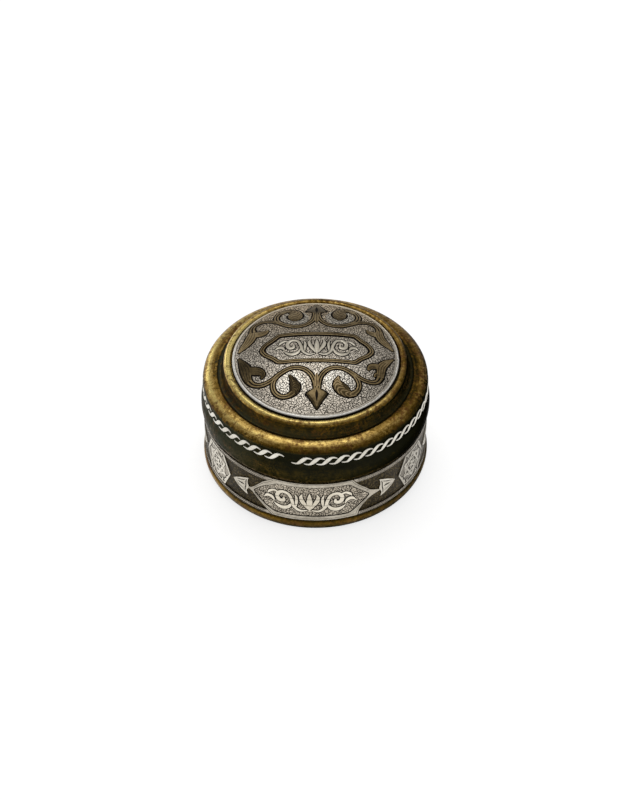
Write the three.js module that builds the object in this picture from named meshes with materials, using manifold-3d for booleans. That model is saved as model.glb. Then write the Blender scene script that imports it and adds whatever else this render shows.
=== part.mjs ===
// A round box of turned brass with silver and copper inlay, and a domed lid that lifts off.
// Millimetres, +Z up, origin on the axis under the foot, front towards -Y.

import * as THREE from "three";
import { mergeVertices } from "three/addons/utils/BufferGeometryUtils.js";
import Module from "manifold-3d";

const wasm = await Module();
wasm.setup();

// Driving dimensions of the box

const facets = 48;                 // flats round every turned piece
const boxHeight = 29;              // foot to rim
const wallFaceRadius = 49.2;       // silver face of the wall, at its widest
const waistInset = 0.25;           // how far the wall draws in at the waist
const waistHeight = 12;
const wallThickness = 1.5;         // brass behind the inlay ground
const inlayRelief = 0.5;           // silver stands this far above the ground
const inlaySeat = 0.1;             // solder line under each piece of inlay
const inlayGap = 0.3;              // line between neighbouring pieces of inlay
const footHeight = 5.9;
const footBulge = 0.4;             // foot moulding beyond the wall face
const footSoleWidth = 2.2;         // flat ring that the box stands on
const footCurl = 1.7;              // how far the moulding curls in under the bulge
const baseThickness = 1.3;
const baseLift = 1;                // base plate above the table
const baseLipWidth = 1.6;          // lip of the foot under the base plate
const rimChamfer = 0.4;

// Driving dimensions of the inner collar

const collarThickness = 1;
const collarDepth = 9;             // below the rim, inside the wall
const collarRise = 7;              // above the rim, inside the lid
const lidClearance = 0.3;          // running gap between the collar and the lid

// Driving dimensions of the wall inlay

const upperBorderWidth = 1.9;
const upperBorderDrop = 0.5;       // below the rim
const lowerBorderWidth = 1.65;
const lowerBorderLift = 0.15;      // above the foot moulding
const inlayFloor = 0.2;            // chased field of a wall plate below its face
const frameWidth = 1.4;
const panelCount = 3;              // wall cartouches, each two with a medallion between them
const cartoucheTopHalf = 0.352 * wallFaceRadius;     // half lengths along the wall
const cartoucheBottomHalf = 0.372 * wallFaceRadius;
const cartoucheTipHalf = 0.52 * wallFaceRadius;
const cartoucheStemHalf = 0.594 * wallFaceRadius;
const stemHalfWidth = 0.7;
const medallionTipHalf = 0.22 * wallFaceRadius;
const medallionShoulderHalf = 0.122 * wallFaceRadius;
const medallionFrameWidth = 1.1;
const starRadius = 8.2;
const starStrap = 1.05;
const bossRadius = 1.3;
const budAngle = 45;               // degrees from the middle of a cartouche to its leaf buds
const budLength = 0.19 * wallFaceRadius;
const budHalfHeight = 5.1;
const budBarb = 1.3;               // how far the barbs reach back past the notch

// Driving dimensions of the lid

const lidRest = 0.3;               // the lid's edge above the rim
const lidOverhang = 0.8;           // lid bead beyond the wall face
const lidWall = 1.3;
const beadHeight = 4.5;            // heights here are above the lid's edge
const skirtInset = 1.05;           // skirt inside the bead
const skirtHeight = 9.4;
const shoulderHeight = 16.45;
const shoulderInset = 7.05;
const shoulderRise = 3.25;
const coveDip = 0.25;              // floor of the cove below the shoulder's crest
const ringHeight = 24.3;
const ringInset = 11.8;
const ringRadius = 1.75;
const fieldHeight = 26;
const fieldGap = 0.25;             // line between the silver field and the brass ring
const domeRise = 7.4;
const fieldThickness = 0.6;
const copperRelief = 0.2;          // copper stands this far above the silver
const drawnFieldRadius = 36.35;    // field that the scrolls and the panel are drawn for
const panelHalfLength = 24.9;
const panelHalfHeight = 9.45;
const panelFrameWidth = 2;
const panelShift = [0.6, 0.85];    // panel towards the right and the back
const bandHalf = 1.05;             // half width of the copper scrolls

// Driving dimensions of the rope inlay

const ropeHeight = 13.2;
const ropeThickness = 0.25;
const ropeStrokes = 56;
const ropePitch = 6.28;            // degrees between strokes
const ropeStart = -6.1;            // degrees, first stroke right of the break
const ropeRise = 1.45;             // half height of the bends
const ropeReach = 2.6;             // bends to either side of the middle
const ropeHalf = 0.8;              // half width at the bends

// Sizes that follow

const groundRadius = wallFaceRadius - inlayRelief;
const innerRadius = groundRadius - wallThickness;
const collarRadius = innerRadius - inlaySeat;
const lidInnerRadius = collarRadius + lidClearance;
const lidRadius = wallFaceRadius + lidOverhang;
const lidEdge = boxHeight + lidRest;
const skirtRadius = lidRadius - skirtInset;
const shoulderRadius = lidRadius - shoulderInset;
const shoulderZ = lidEdge + shoulderHeight;
const ringCentreRadius = lidRadius - ringInset;
const ringZ = lidEdge + ringHeight;
const fieldRadius = ringCentreRadius - ringRadius - fieldGap + 0.15;
const fieldZ = lidEdge + fieldHeight;
const upperBorderTop = boxHeight - upperBorderDrop;
const upperBorderBottom = upperBorderTop - upperBorderWidth;
const lowerBorderBottom = footHeight + lowerBorderLift;
const lowerBorderTop = lowerBorderBottom + lowerBorderWidth;
const inlayMiddle = (lowerBorderTop + upperBorderBottom) / 2;
const fieldSpread = fieldRadius / drawnFieldRadius;
const panelStep = 360 / panelCount;
const panelTurns = Array.from({ length: panelCount }, (_, i) => i * panelStep);
const degree = Math.PI / 180;

// Solids from three.js geometry

function signedVolume(vertices, triangles) {
  const corner = (index) => new THREE.Vector3().fromArray(vertices, 3 * index);
  let total = 0;
  for (let i = 0; i < triangles.length; i += 3) {
    const [a, b, c] = [0, 1, 2].map((step) => corner(triangles[i + step]));
    total += a.dot(b.cross(c)) / 6;
  }
  return total;
}

function solidFrom(geometry) {
  geometry.deleteAttribute("normal");
  geometry.deleteAttribute("uv");
  const merged = mergeVertices(geometry);
  const vertices = merged.attributes.position.array;
  const index = merged.index.array;
  const triangles = [];
  for (let i = 0; i < index.length; i += 3) {
    const [a, b, c] = [index[i], index[i + 1], index[i + 2]];
    if (a !== b && b !== c && c !== a) {
      triangles.push(a, b, c);
    }
  }
  if (signedVolume(vertices, triangles) < 0) {
    triangles.reverse();
  }
  return new wasm.Manifold(new wasm.Mesh({
    numProp: 3,
    vertProperties: new Float32Array(vertices),
    triVerts: new Uint32Array(triangles),
  }));
}

function union(solids) {
  return solids.reduce((whole, next) => whole.add(next));
}

// Turned solid from a profile of [radius, height] that ends on the axis or closes on itself
function turned(profile) {
  const outline = profile.map(([radius, height]) => new THREE.Vector2(radius, height));
  const onAxis = outline[0].x === 0 && outline.at(-1).x === 0;
  if (!onAxis) {
    outline.push(outline[0].clone());
  }
  const geometry = new THREE.LatheGeometry(outline, facets);
  geometry.rotateX(Math.PI / 2);
  return solidFrom(geometry);
}

function arc(radius, height, width, rise, from, to, steps) {
  return Array.from({ length: steps + 1 }, (_, i) => {
    const angle = (from + (to - from) * i / steps) * degree;
    return [radius + width * Math.cos(angle), height + rise * Math.sin(angle)];
  });
}

// Outlines

function polygon(points) {
  return new THREE.Shape(points.map(([x, y]) => new THREE.Vector2(x, y)));
}

function counterClockwise(points) {
  const vectors = points.map(([x, y]) => new THREE.Vector2(x, y));
  return THREE.ShapeUtils.isClockWise(vectors) ? [...points].reverse() : points;
}

// Moves every side of an outline outwards by a margin, or inwards if it is negative
function grown(points, margin) {
  const outline = counterClockwise(points);
  const sharpest = 0.35;
  return outline.map(([x, y], i) => {
    const before = outline.at(i - 1);
    const after = outline[(i + 1) % outline.length];
    const first = new THREE.Vector2(y - before[1], before[0] - x).normalize();
    const second = new THREE.Vector2(after[1] - y, x - after[0]).normalize();
    const out = first.clone().add(second).normalize();
    const reach = margin / Math.max(out.dot(first), sharpest);
    return [x + out.x * reach, y + out.y * reach];
  });
}

function framed(points, width) {
  const shape = polygon(points);
  shape.holes.push(polygon(grown(points, -width)));
  return shape;
}

// A band along a curve through points of [x, y, half width], grown all round by a margin
function ribbon(points, margin = 0) {
  const spots = points.map(([x, y, half]) => new THREE.Vector3(x, y, half));
  const steps = points.length - 1;
  const stations = new THREE.CatmullRomCurve3(spots, false, "centripetal").getPoints(steps);
  const left = [];
  const right = [];
  stations.forEach((station, i) => {
    const before = stations[Math.max(i - 1, 0)];
    const after = stations[Math.min(i + 1, steps)];
    const along = new THREE.Vector2(after.x - before.x, after.y - before.y).normalize();
    const side = new THREE.Vector2(-along.y, along.x).multiplyScalar(station.z + margin);
    const stretch = i === 0 ? -margin : (i === steps ? margin : 0);
    const middle = new THREE.Vector2(station.x, station.y).addScaledVector(along, stretch);
    left.push(middle.clone().add(side));
    right.unshift(middle.clone().sub(side));
  });
  return new THREE.Shape([...left, ...right]);
}

function flipped(points) {
  return points.map(([x, y]) => [-x, y]);
}

function moved([along, up], points) {
  return points.map(([x, y]) => [x + along, y + up]);
}

// The wall and its inlay

function wallRadius(z) {
  const above = Math.max(z - waistHeight, 0) / (boxHeight - waistHeight);
  return wallFaceRadius - waistInset * (1 - above);
}

function wallLevels(from, to) {
  return [from, waistHeight, to].filter((z) => z >= from && z <= to);
}

// A ring that follows the wall, between two depths below the silver face
function wallLayer(from, to, innerDepth, outerDepth) {
  const levels = wallLevels(from, to);
  const outer = levels.map((z) => [wallRadius(z) - outerDepth, z]);
  const inner = levels.map((z) => [wallRadius(z) - innerDepth, z]).reverse();
  return turned([...outer, ...inner]);
}

function seatedLayer(outerDepth) {
  const margin = 1;
  const [low, high] = [lowerBorderBottom - margin, upperBorderTop + margin];
  return wallLayer(low, high, inlayRelief - inlaySeat, outerDepth);
}

const faceLayer = seatedLayer(0);
const floorLayer = seatedLayer(inlayFloor);

// An outline in lengths along the wall and heights, as a post that runs out to the front
function throughWall(shape) {
  const flat = (point) => {
    point.x = wallFaceRadius * Math.sin(point.x / wallFaceRadius);
  };
  const { shape: outline, holes } = shape.extractPoints(1);
  [outline, ...holes].forEach((points) => points.forEach(flat));
  const copy = new THREE.Shape(outline);
  copy.holes = holes.map((points) => new THREE.Path(points));
  const depth = 2 * wallFaceRadius;
  const geometry = new THREE.ExtrudeGeometry(copy, { depth, bevelEnabled: false });
  geometry.rotateX(Math.PI / 2);
  return solidFrom(geometry);
}

function wallPlate(outline, raised) {
  const floor = throughWall(polygon(outline)).intersect(floorLayer);
  const relief = union(raised.map(throughWall)).intersect(faceLayer);
  return floor.add(relief);
}

const cartoucheOutline = (() => {
  const right = [
    [cartoucheTopHalf, upperBorderTop],
    [cartoucheTipHalf, inlayMiddle + stemHalfWidth],
    [cartoucheStemHalf - inlayGap, inlayMiddle],
    [cartoucheTipHalf, inlayMiddle - stemHalfWidth],
    [cartoucheBottomHalf, lowerBorderBottom],
  ];
  return [...right, ...flipped(right).reverse()];
})();

const cartoucheOpening = (() => {
  const right = [
    [cartoucheTopHalf, upperBorderTop],
    [cartoucheTipHalf, inlayMiddle],
    [cartoucheBottomHalf, lowerBorderBottom],
  ];
  return grown([...right, ...flipped(right).reverse()], -frameWidth);
})();

function wallCartouche() {
  const frame = polygon(cartoucheOutline);
  frame.holes.push(polygon(cartoucheOpening));
  return wallPlate(cartoucheOutline, [frame]);
}

function wallMedallion() {
  const top = upperBorderBottom - inlayGap - 0.2;
  const bottom = lowerBorderTop + inlayGap + 0.2;
  const middle = (top + bottom) / 2;
  const right = [
    [medallionShoulderHalf, top],
    [medallionTipHalf, middle],
    [medallionShoulderHalf, bottom],
  ];
  const outline = [...right, ...flipped(right).reverse()];
  const triangle = (turn) => [0, 120, 240].map((step) => {
    const angle = (step + turn) * degree;
    return [starRadius * Math.cos(angle), middle + starRadius * Math.sin(angle)];
  });
  const boss = polygon(arc(0, middle, bossRadius, bossRadius, 0, 300, 5));
  const straps = [90, 270].map((turn) => framed(triangle(turn), starStrap));
  return wallPlate(outline, [framed(outline, medallionFrameWidth), ...straps, boss]);
}

// A leaf bud, placed so that its notch meets the stem of a cartouche
function leafBud(side) {
  const anchor = budAngle * degree * wallFaceRadius;
  const notch = cartoucheStemHalf + budBarb + inlayGap - anchor;
  const upper = [
    [notch, 0],
    [notch - budBarb, budHalfHeight],
    [notch + 0.3 * budLength, 0.8 * budHalfHeight],
    [notch + 0.62 * budLength, 0.48 * budHalfHeight],
    [notch + 0.8 * budLength, 0.2 * budHalfHeight],
    [notch + 0.86 * budLength, 0],
  ];
  const lower = upper.slice(1, -1).map(([x, y]) => [x, -y]).reverse();
  const points = moved([0, inlayMiddle], [...upper, ...lower]);
  const outline = side > 0 ? points : flipped(points);
  return throughWall(polygon(outline)).intersect(faceLayer);
}

// Border strips run round the wall and stop at the cartouches
function borderStrips(from, to) {
  const ring = wallLayer(from, to, inlayRelief - inlaySeat, 0);
  const cutter = throughWall(polygon(grown(cartoucheOutline, inlayGap)));
  const cut = panelTurns.reduce((rest, turn) => rest.subtract(cutter.rotate([0, 0, turn])), ring);
  const facing = (solid) => {
    const { min, max } = solid.boundingBox();
    return Math.atan2(min[0] + max[0], -(min[1] + max[1]));
  };
  return cut.decompose().sort((a, b) => facing(b) - facing(a));
}

// The brass box

function bodyWall() {
  const sole = innerRadius - baseLipWidth;
  const bulge = wallFaceRadius + footBulge;
  const ground = wallLevels(footHeight, boxHeight - rimChamfer)
    .map((z) => [wallRadius(z) - inlayRelief, z]);
  return turned([
    [sole, 0],
    [sole + footSoleWidth, 0],
    [bulge - footCurl * 0.7, 0.12 * footHeight],
    [bulge - footCurl * 0.2, 0.36 * footHeight],
    [bulge, 0.66 * footHeight],
    [bulge - footCurl * 0.05, 0.85 * footHeight],
    [wallFaceRadius - waistInset, footHeight],
    ...ground,
    [groundRadius - rimChamfer, boxHeight],
    [innerRadius, boxHeight],
    [innerRadius, baseLift - inlaySeat],
    [sole, baseLift - inlaySeat],
  ]);
}

function basePlate() {
  const radius = innerRadius - inlaySeat;
  const top = baseLift + baseThickness;
  return turned([[0, baseLift], [radius, baseLift], [radius, top], [0, top]]);
}

function innerCollar() {
  const inside = collarRadius - collarThickness;
  const [low, high] = [boxHeight - collarDepth, boxHeight + collarRise];
  const ease = 0.4 * collarThickness;
  return turned([
    [inside, low],
    [collarRadius, low],
    [collarRadius, high - ease],
    [collarRadius - ease, high],
    [inside, high],
  ]);
}

// The brass lid

function domeZ(radius) {
  return fieldZ + domeRise * (1 - (radius / fieldRadius) ** 2);
}

const domeRings = 4;

// The dome from its edge to the axis, at a depth below the silver face
function domeLine(depth) {
  return Array.from({ length: domeRings + 1 }, (_, i) => {
    const radius = fieldRadius * (1 - i / domeRings);
    return [radius, domeZ(radius) - depth];
  });
}

function lidShell() {
  const support = fieldThickness + inlaySeat;
  const shoulderWidth = skirtRadius - shoulderRadius;
  const ringOuter = ringCentreRadius + ringRadius;
  const coveWidth = shoulderRadius - ringOuter;
  const shoulderTop = shoulderZ + shoulderRise;
  const coveRise = ringZ - shoulderTop;
  const shoulderInside = arc(shoulderRadius, shoulderZ, lidInnerRadius - shoulderRadius,
    shoulderRise - lidWall, 90, 0, 2);
  return turned([
    [lidInnerRadius, lidEdge],
    [lidRadius - skirtInset * 1.25, lidEdge],
    [lidRadius - skirtInset * 0.4, lidEdge + 0.2 * beadHeight],
    [lidRadius - skirtInset * 0.08, lidEdge + 0.55 * beadHeight],
    [lidRadius, lidEdge + beadHeight],
    [lidRadius - skirtInset * 0.2, lidEdge + 1.5 * beadHeight],
    [skirtRadius, lidEdge + skirtHeight],
    ...arc(shoulderRadius, shoulderZ, shoulderWidth, shoulderRise, 0, 90, 4),
    [ringOuter + 0.75 * coveWidth, shoulderTop - coveDip],
    [ringOuter + 0.45 * coveWidth, shoulderTop - 0.6 * coveDip],
    [ringOuter + 0.25 * coveWidth, shoulderTop + 0.13 * coveRise],
    [ringOuter + 0.09 * coveWidth, shoulderTop + 0.5 * coveRise],
    ...arc(ringCentreRadius, ringZ, ringRadius, ringRadius, 0, 140, 4),
    [fieldRadius + fieldGap, domeZ(fieldRadius) - support],
    ...domeLine(support),
    ...domeLine(support + lidWall).reverse(),
    [ringOuter - 1.15 * lidWall, ringZ - 1.1 * lidWall],
    [ringOuter - 0.75 * lidWall, shoulderTop + 0.4 * coveRise],
    [ringOuter - 0.2 * lidWall, shoulderTop - 0.5 * lidWall],
    [ringOuter + 0.5 * coveWidth, shoulderTop - 1.2 * lidWall],
    ...shoulderInside,
  ]);
}

// Inlay of the lid's top

function domeLayer(outerDepth) {
  return turned([...domeLine(fieldThickness).reverse(), ...domeLine(outerDepth)]);
}

function throughLid(shape) {
  const depth = 2 * domeRise + ringHeight;
  const geometry = new THREE.ExtrudeGeometry(shape, { depth, bevelEnabled: false });
  geometry.translate(0, 0, lidEdge + ringHeight / 2);
  geometry.scale(fieldSpread, fieldSpread, 1);
  return solidFrom(geometry);
}

// Copper scrolls as ribbons of [x, y, half width]; each side is drawn by itself
const frontRibbons = [
  // right ring, wound in to a shell
  [
    [1.2, -23.6, 0.9], [1.4, -20, bandHalf], [2.4, -16.2, bandHalf], [5, -12.9, bandHalf],
    [9.2, -11.3, bandHalf], [13.4, -12.3, bandHalf], [17, -15.2, bandHalf],
    [18.7, -19.2, bandHalf], [18, -22, 1.1], [16.2, -24, 1.3], [13.6, -24.3, 1.7],
    [11, -23, 2.2], [9.6, -20.8, 2.3], [9.3, -18.6, 1.5], [9.9, -15.9, 0.2],
  ],
  // right branch and leaf
  [
    [13.4, -12.3, bandHalf], [16.4, -14, bandHalf], [18.8, -15.6, bandHalf],
    [21.2, -16.6, bandHalf], [24, -16.9, bandHalf], [26.4, -15.9, 1.2], [27.8, -13.4, 1.5],
    [28, -10.6, 1.9], [28.4, -7.6, 2.1], [30.4, -4.4, 1.6], [33.6, -1.2, 0.2],
  ],
  [[28.2, -7.9, 1.6], [25.6, -7.7, 1.6], [23.6, -8.7, 1.3], [22.5, -10.7, 0.4]],
  [[28, -12.1, 0.9], [26.2, -12.1, 0.9], [25.2, -13.6, 0.3]],
  // left ring, wound in to a half palmette
  [
    [0, -23.6, 0.9], [-0.2, -20.6, 0.95], [-1, -17.3, bandHalf], [-3, -14, bandHalf],
    [-5.8, -12, bandHalf], [-9, -11.4, bandHalf], [-12.4, -12.3, bandHalf],
    [-15.8, -14.6, bandHalf], [-17.9, -17.6, bandHalf], [-18.2, -20.8, bandHalf],
    [-16.9, -23.8, bandHalf], [-14.4, -25.6, bandHalf], [-11.6, -25.5, 1.2],
    [-9.4, -24, 1.8], [-8.6, -21.6, 2.4], [-9.4, -18.8, 1.6], [-11, -15.3, 0.2],
  ],
  // left branch and leaf
  [
    [-12.4, -12.3, bandHalf], [-15.4, -14.2, 1.15], [-18, -16.4, 1.15], [-20.8, -18, 1.15],
    [-23.8, -18.5, 1.15], [-26.6, -17.5, 1.2], [-28.6, -15.1, 1.5], [-29.5, -12, 2.1],
    [-29.9, -9, 2.6], [-31.2, -5.5, 1.9], [-33.2, -0.8, 0.3],
  ],
  [[-29.6, -9.4, 2], [-26.6, -10.5, 2.4], [-24.2, -11.6, 2.2], [-23, -12.6, 1.5], [-22.3, -13.4, 0.5]],
  // bud between the rings
  [
    [0.5, -19, 0.5], [0.5, -22.2, 1.3], [0.5, -23.6, 2.2], [0.5, -24.8, 4.6],
    [0.5, -26.6, 3.8], [0.5, -28.6, 2.5], [0.5, -30.6, 1.2], [0.5, -32.2, 0.15],
  ],
];
const backRibbons = [
  // right ring with a round end
  [
    [1.3, 26.4, 0.9], [1.4, 23.2, 1], [2.2, 19.9, bandHalf], [4.3, 17, bandHalf], [7.6, 15.5, 1.15],
    [11.2, 15.6, 1.2], [15, 17.6, 1.2], [18, 20.8, 1.2], [18.8, 24.4, 1.2], [17.2, 27.9, 1.2],
    [14, 29.5, 1.4], [11.4, 28.2, 2.4], [10.5, 25, 3.4], [10.5, 22, 2.6], [10.6, 20.4, 0.6],
  ],
  // right branch and leaf
  [
    [11.2, 15.6, 1.2], [15, 17.4, bandHalf], [18, 19.4, bandHalf], [21, 20.7, bandHalf],
    [24.2, 20.6, bandHalf], [26.7, 18.9, 1.2], [27.8, 16, 1.5], [27.7, 13, 2.1], [28.7, 10, 2.2],
    [30.9, 7.2, 1.7], [33.6, 4.2, 0.3],
  ],
  [[27.7, 12.6, 1.8], [25.2, 13, 1.7], [23.2, 13.8, 1.2], [22.4, 15, 0.4]],
  // left ring with a round end
  [
    [-0.4, 26.4, 0.9], [-0.4, 22.9, 1], [-1.2, 19.5, bandHalf], [-3.4, 16.6, bandHalf],
    [-6.8, 15, 1.15], [-10.4, 15.3, 1.2], [-14, 17.4, 1.2], [-16.6, 20.5, 1.2], [-17, 24, 1.2],
    [-15.3, 27.2, 1.2], [-12, 28.6, 1.4], [-9.3, 26.8, 2.6], [-8.8, 23.6, 3.6], [-9, 20.9, 2.7],
    [-9.2, 19.5, 0.6],
  ],
  // left branch and leaf
  [
    [-10.4, 15.3, 1.2], [-14, 17.3, bandHalf], [-17, 19.7, bandHalf], [-20, 21.3, bandHalf],
    [-23.3, 21.7, bandHalf], [-26.2, 20.3, 1.1], [-27.5, 17.6, 1.3], [-27.4, 14.6, 1.8],
    [-27.9, 11.5, 2.5], [-29.4, 8, 2.2], [-31.5, 5.2, 1.5], [-33.2, 2.8, 0.4],
  ],
  [[-27.6, 13, 1.8], [-24.6, 12.5, 2], [-22, 13, 1.7], [-20.5, 14.1, 0.5]],
  // bud between the rings
  [
    [0.5, 21.5, 0.5], [0.5, 24.6, 1.3], [0.5, 26, 2.2], [0.5, 27.2, 4.6],
    [0.5, 29, 3.8], [0.5, 31, 2.5], [0.5, 33, 1.2], [0.5, 34.4, 0.15],
  ],
];

const panelOutline = (() => {
  const corner = [
    [0.68 * panelHalfLength, panelHalfHeight],
    [0.79 * panelHalfLength, 0.68 * panelHalfHeight],
    [0.92 * panelHalfLength, 0.42 * panelHalfHeight],
    [panelHalfLength, 0.08 * panelHalfHeight],
  ];
  const right = [...corner, ...corner.map(([x, y]) => [x, -y]).reverse()];
  return moved(panelShift, [...right, ...flipped(right).reverse()]);
})();

function copperPosts(ribbons, margin) {
  return union(ribbons.map((points) => throughLid(ribbon(points, margin))));
}

function lidField() {
  const windows = [
    copperPosts(frontRibbons, inlayGap),
    copperPosts(backRibbons, inlayGap),
    throughLid(polygon(grown(panelOutline, inlayGap))),
  ];
  return domeLayer(0).subtract(union(windows));
}

function lidPanel() {
  const inside = throughLid(polygon(grown(panelOutline, -panelFrameWidth - inlayGap)));
  return inside.intersect(domeLayer(0));
}

const copperLayer = domeLayer(-copperRelief);

function scrollwork(ribbons) {
  return copperPosts(ribbons, 0).intersect(copperLayer);
}

function panelFrame() {
  return throughLid(framed(panelOutline, panelFrameWidth)).intersect(copperLayer);
}

// The rope inlay: slanting strokes, each starting on the one before it

function ropeStroke(angle) {
  const stations = [
    [-1.9 * ropeReach, -0.15 * ropeRise, 0],
    [-ropeReach, -ropeRise, ropeHalf],
    [ropeReach, ropeRise, ropeHalf],
    [1.7 * ropeReach, 0.6 * ropeRise, 0],
  ];
  const inner = skirtRadius + inlaySeat;
  const outer = inner + ropeThickness;
  const middle = lidEdge + ropeHeight;
  const place = (along, rise, radius) => {
    const turn = angle * degree + along / skirtRadius;
    return [radius * Math.sin(turn), -radius * Math.cos(turn), middle + rise];
  };
  const positions = stations.flatMap(([along, rise, half], i) => {
    const before = stations[Math.max(i - 1, 0)];
    const after = stations[Math.min(i + 1, stations.length - 1)];
    const path = new THREE.Vector2(after[0] - before[0], after[1] - before[1]).normalize();
    const [dx, dy] = [-path.y * half, path.x * half];
    return [
      place(along - dx, rise - dy, inner),
      place(along + dx, rise + dy, inner),
      place(along + dx, rise + dy, outer),
      place(along - dx, rise - dy, outer),
    ].flat();
  });
  const index = [0, 1, 2, 0, 2, 3];
  for (let i = 0; i < stations.length - 1; i += 1) {
    for (let side = 0; side < 4; side += 1) {
      const [a, b] = [4 * i + side, 4 * i + (side + 1) % 4];
      index.push(a, a + 4, b, b, a + 4, b + 4);
    }
  }
  const end = 4 * (stations.length - 1);
  index.push(end, end + 2, end + 1, end, end + 3, end + 2);
  const geometry = new THREE.BufferGeometry();
  geometry.setAttribute("position", new THREE.Float32BufferAttribute(positions, 3));
  geometry.setIndex(index);
  return solidFrom(geometry);
}

function ropeInlay() {
  const strokes = Array.from({ length: ropeStrokes }, (_, i) => ropeStroke(ropeStart + i * ropePitch));
  return union(strokes);
}

// Finishes

const finishes = {
  brass: { color: 0x8f7335, roughness: 0.34, metalness: 1 },
  base: { color: 0x7d6530, roughness: 0.5, metalness: 1 },
  silver: { color: 0xb9b2a6, roughness: 0.38, metalness: 1 },
  copper: { color: 0x7a6248, roughness: 0.45, metalness: 1 },
};

function piece(name, solid, finish, turn = 0) {
  const { vertProperties, triVerts } = solid.getMesh();
  const geometry = new THREE.BufferGeometry();
  geometry.setAttribute("position", new THREE.BufferAttribute(vertProperties, 3));
  geometry.setIndex(new THREE.BufferAttribute(triVerts, 1));
  geometry.computeVertexNormals();
  const mesh = new THREE.Mesh(geometry, new THREE.MeshStandardMaterial(finishes[finish]));
  mesh.name = name;
  mesh.rotation.z = turn * degree;
  return mesh;
}

// The assembly

const box = new THREE.Group();
box.add(piece("body_wall", bodyWall(), "brass"));
box.add(piece("base_plate", basePlate(), "base"));
box.add(piece("inner_collar", innerCollar(), "base"));
borderStrips(upperBorderBottom, upperBorderTop).forEach((strip, i) => {
  box.add(piece(`upper_border_${i + 1}`, strip, "silver"));
});
borderStrips(lowerBorderBottom, lowerBorderTop).forEach((strip, i) => {
  box.add(piece(`lower_border_${i + 1}`, strip, "silver"));
});
const cartouche = wallCartouche();
const medallion = wallMedallion();
const rightBud = leafBud(1);
const leftBud = leafBud(-1);
panelTurns.forEach((turn, i) => {
  box.add(piece(`wall_cartouche_${i + 1}`, cartouche, "silver", turn));
  box.add(piece(`wall_medallion_${i + 1}`, medallion, "silver", turn + panelStep / 2));
  box.add(piece(`leaf_bud_${2 * i + 1}`, rightBud, "silver", turn + budAngle));
  box.add(piece(`leaf_bud_${2 * i + 2}`, leftBud, "silver", turn - budAngle));
});

const lid = new THREE.Group();
lid.add(piece("lid_shell", lidShell(), "brass"));
lid.add(piece("lid_field", lidField(), "silver"));
lid.add(piece("lid_panel", lidPanel(), "silver"));
lid.add(piece("panel_frame", panelFrame(), "copper"));
lid.add(piece("scrollwork_front", scrollwork(frontRibbons), "copper"));
lid.add(piece("scrollwork_back", scrollwork(backRibbons), "copper"));
lid.add(piece("rope_inlay", ropeInlay(), "silver"));

const model = new THREE.Group();
model.add(box, lid);

export default model;
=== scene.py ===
# %% [markdown]
# # A round box of inlaid brass
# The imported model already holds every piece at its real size. This script dresses it: each
# cell makes one piece or one finish again with finer shapes, and says which solid it stands for.
# All lengths below are written in millimetres, as a metalworker would, and turned into metres.

# %% Load the frame
import math
import bmesh
import bpy
import numpy as np
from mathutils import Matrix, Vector
from mathutils.geometry import delaunay_2d_cdt


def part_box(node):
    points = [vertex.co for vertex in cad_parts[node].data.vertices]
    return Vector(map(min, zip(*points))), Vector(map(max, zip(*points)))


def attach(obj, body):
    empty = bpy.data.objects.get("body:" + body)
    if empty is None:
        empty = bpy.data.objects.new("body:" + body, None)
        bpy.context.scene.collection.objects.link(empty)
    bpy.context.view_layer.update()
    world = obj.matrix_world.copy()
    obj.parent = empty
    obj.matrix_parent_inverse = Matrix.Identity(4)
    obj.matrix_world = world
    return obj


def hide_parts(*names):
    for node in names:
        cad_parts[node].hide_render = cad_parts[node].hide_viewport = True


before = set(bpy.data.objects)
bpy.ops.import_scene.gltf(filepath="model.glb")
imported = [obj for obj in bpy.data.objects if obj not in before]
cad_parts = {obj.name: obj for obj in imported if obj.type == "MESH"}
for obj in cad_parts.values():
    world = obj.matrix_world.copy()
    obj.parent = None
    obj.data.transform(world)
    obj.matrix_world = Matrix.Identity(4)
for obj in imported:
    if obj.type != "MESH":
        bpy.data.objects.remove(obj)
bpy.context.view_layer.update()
MM = 0.001

# %% [markdown]
# ## Sizes
# The outer sizes are read from the solids, so the dressed pieces land on them. What follows
# from them is worked out here once: the wall that the inlay stands on, and the lid's dome.

# %% Sizes read from the solids
def low(node):
    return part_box(node)[0] / MM


def high(node):
    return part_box(node)[1] / MM


LID_RADIUS = high("lid_shell").x
LID_EDGE = low("lid_shell").z
BOX_HEIGHT = high("body_wall").z
FOOT_RADIUS = high("body_wall").x
INNER_RADIUS = high("inner_collar").x + 0.1
COLLAR_LOW = low("inner_collar").z
COLLAR_HIGH = high("inner_collar").z
FIELD_RADIUS = high("lid_field").x
FIELD_THICKNESS = 0.6
FIELD_EDGE_Z = low("lid_field").z + FIELD_THICKNESS
DOME_RISE = max(high("lid_field").z, high("lid_panel").z) - FIELD_EDGE_Z
BORDER_TOP = high("upper_border_1").z
BORDER_LOW = low("upper_border_1").z
LOWER_TOP = high("lower_border_1").z
LOWER_LOW = low("lower_border_1").z
INLAY_MIDDLE = (LOWER_TOP + BORDER_LOW) / 2
ROPE_MIDDLE = (low("rope_inlay").z + high("rope_inlay").z) / 2
WALL_RADIUS = FOOT_RADIUS - 0.4
WAIST_INSET = 0.25
WAIST_HEIGHT = 12.0
RELIEF = 0.5
SKIRT_RADIUS = LID_RADIUS - 1.05
print("dome rise", round(DOME_RISE, 2), "field", round(FIELD_RADIUS, 2), "wall", round(WALL_RADIUS, 2))


def dome_z(x, y):
    return FIELD_EDGE_Z + DOME_RISE * (1 - (x * x + y * y) / FIELD_RADIUS ** 2)


def wall_radius(z):
    above = max(z - WAIST_HEIGHT, 0) / (BOX_HEIGHT - WAIST_HEIGHT)
    return WALL_RADIUS - WAIST_INSET * (1 - min(above, 1))


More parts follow.
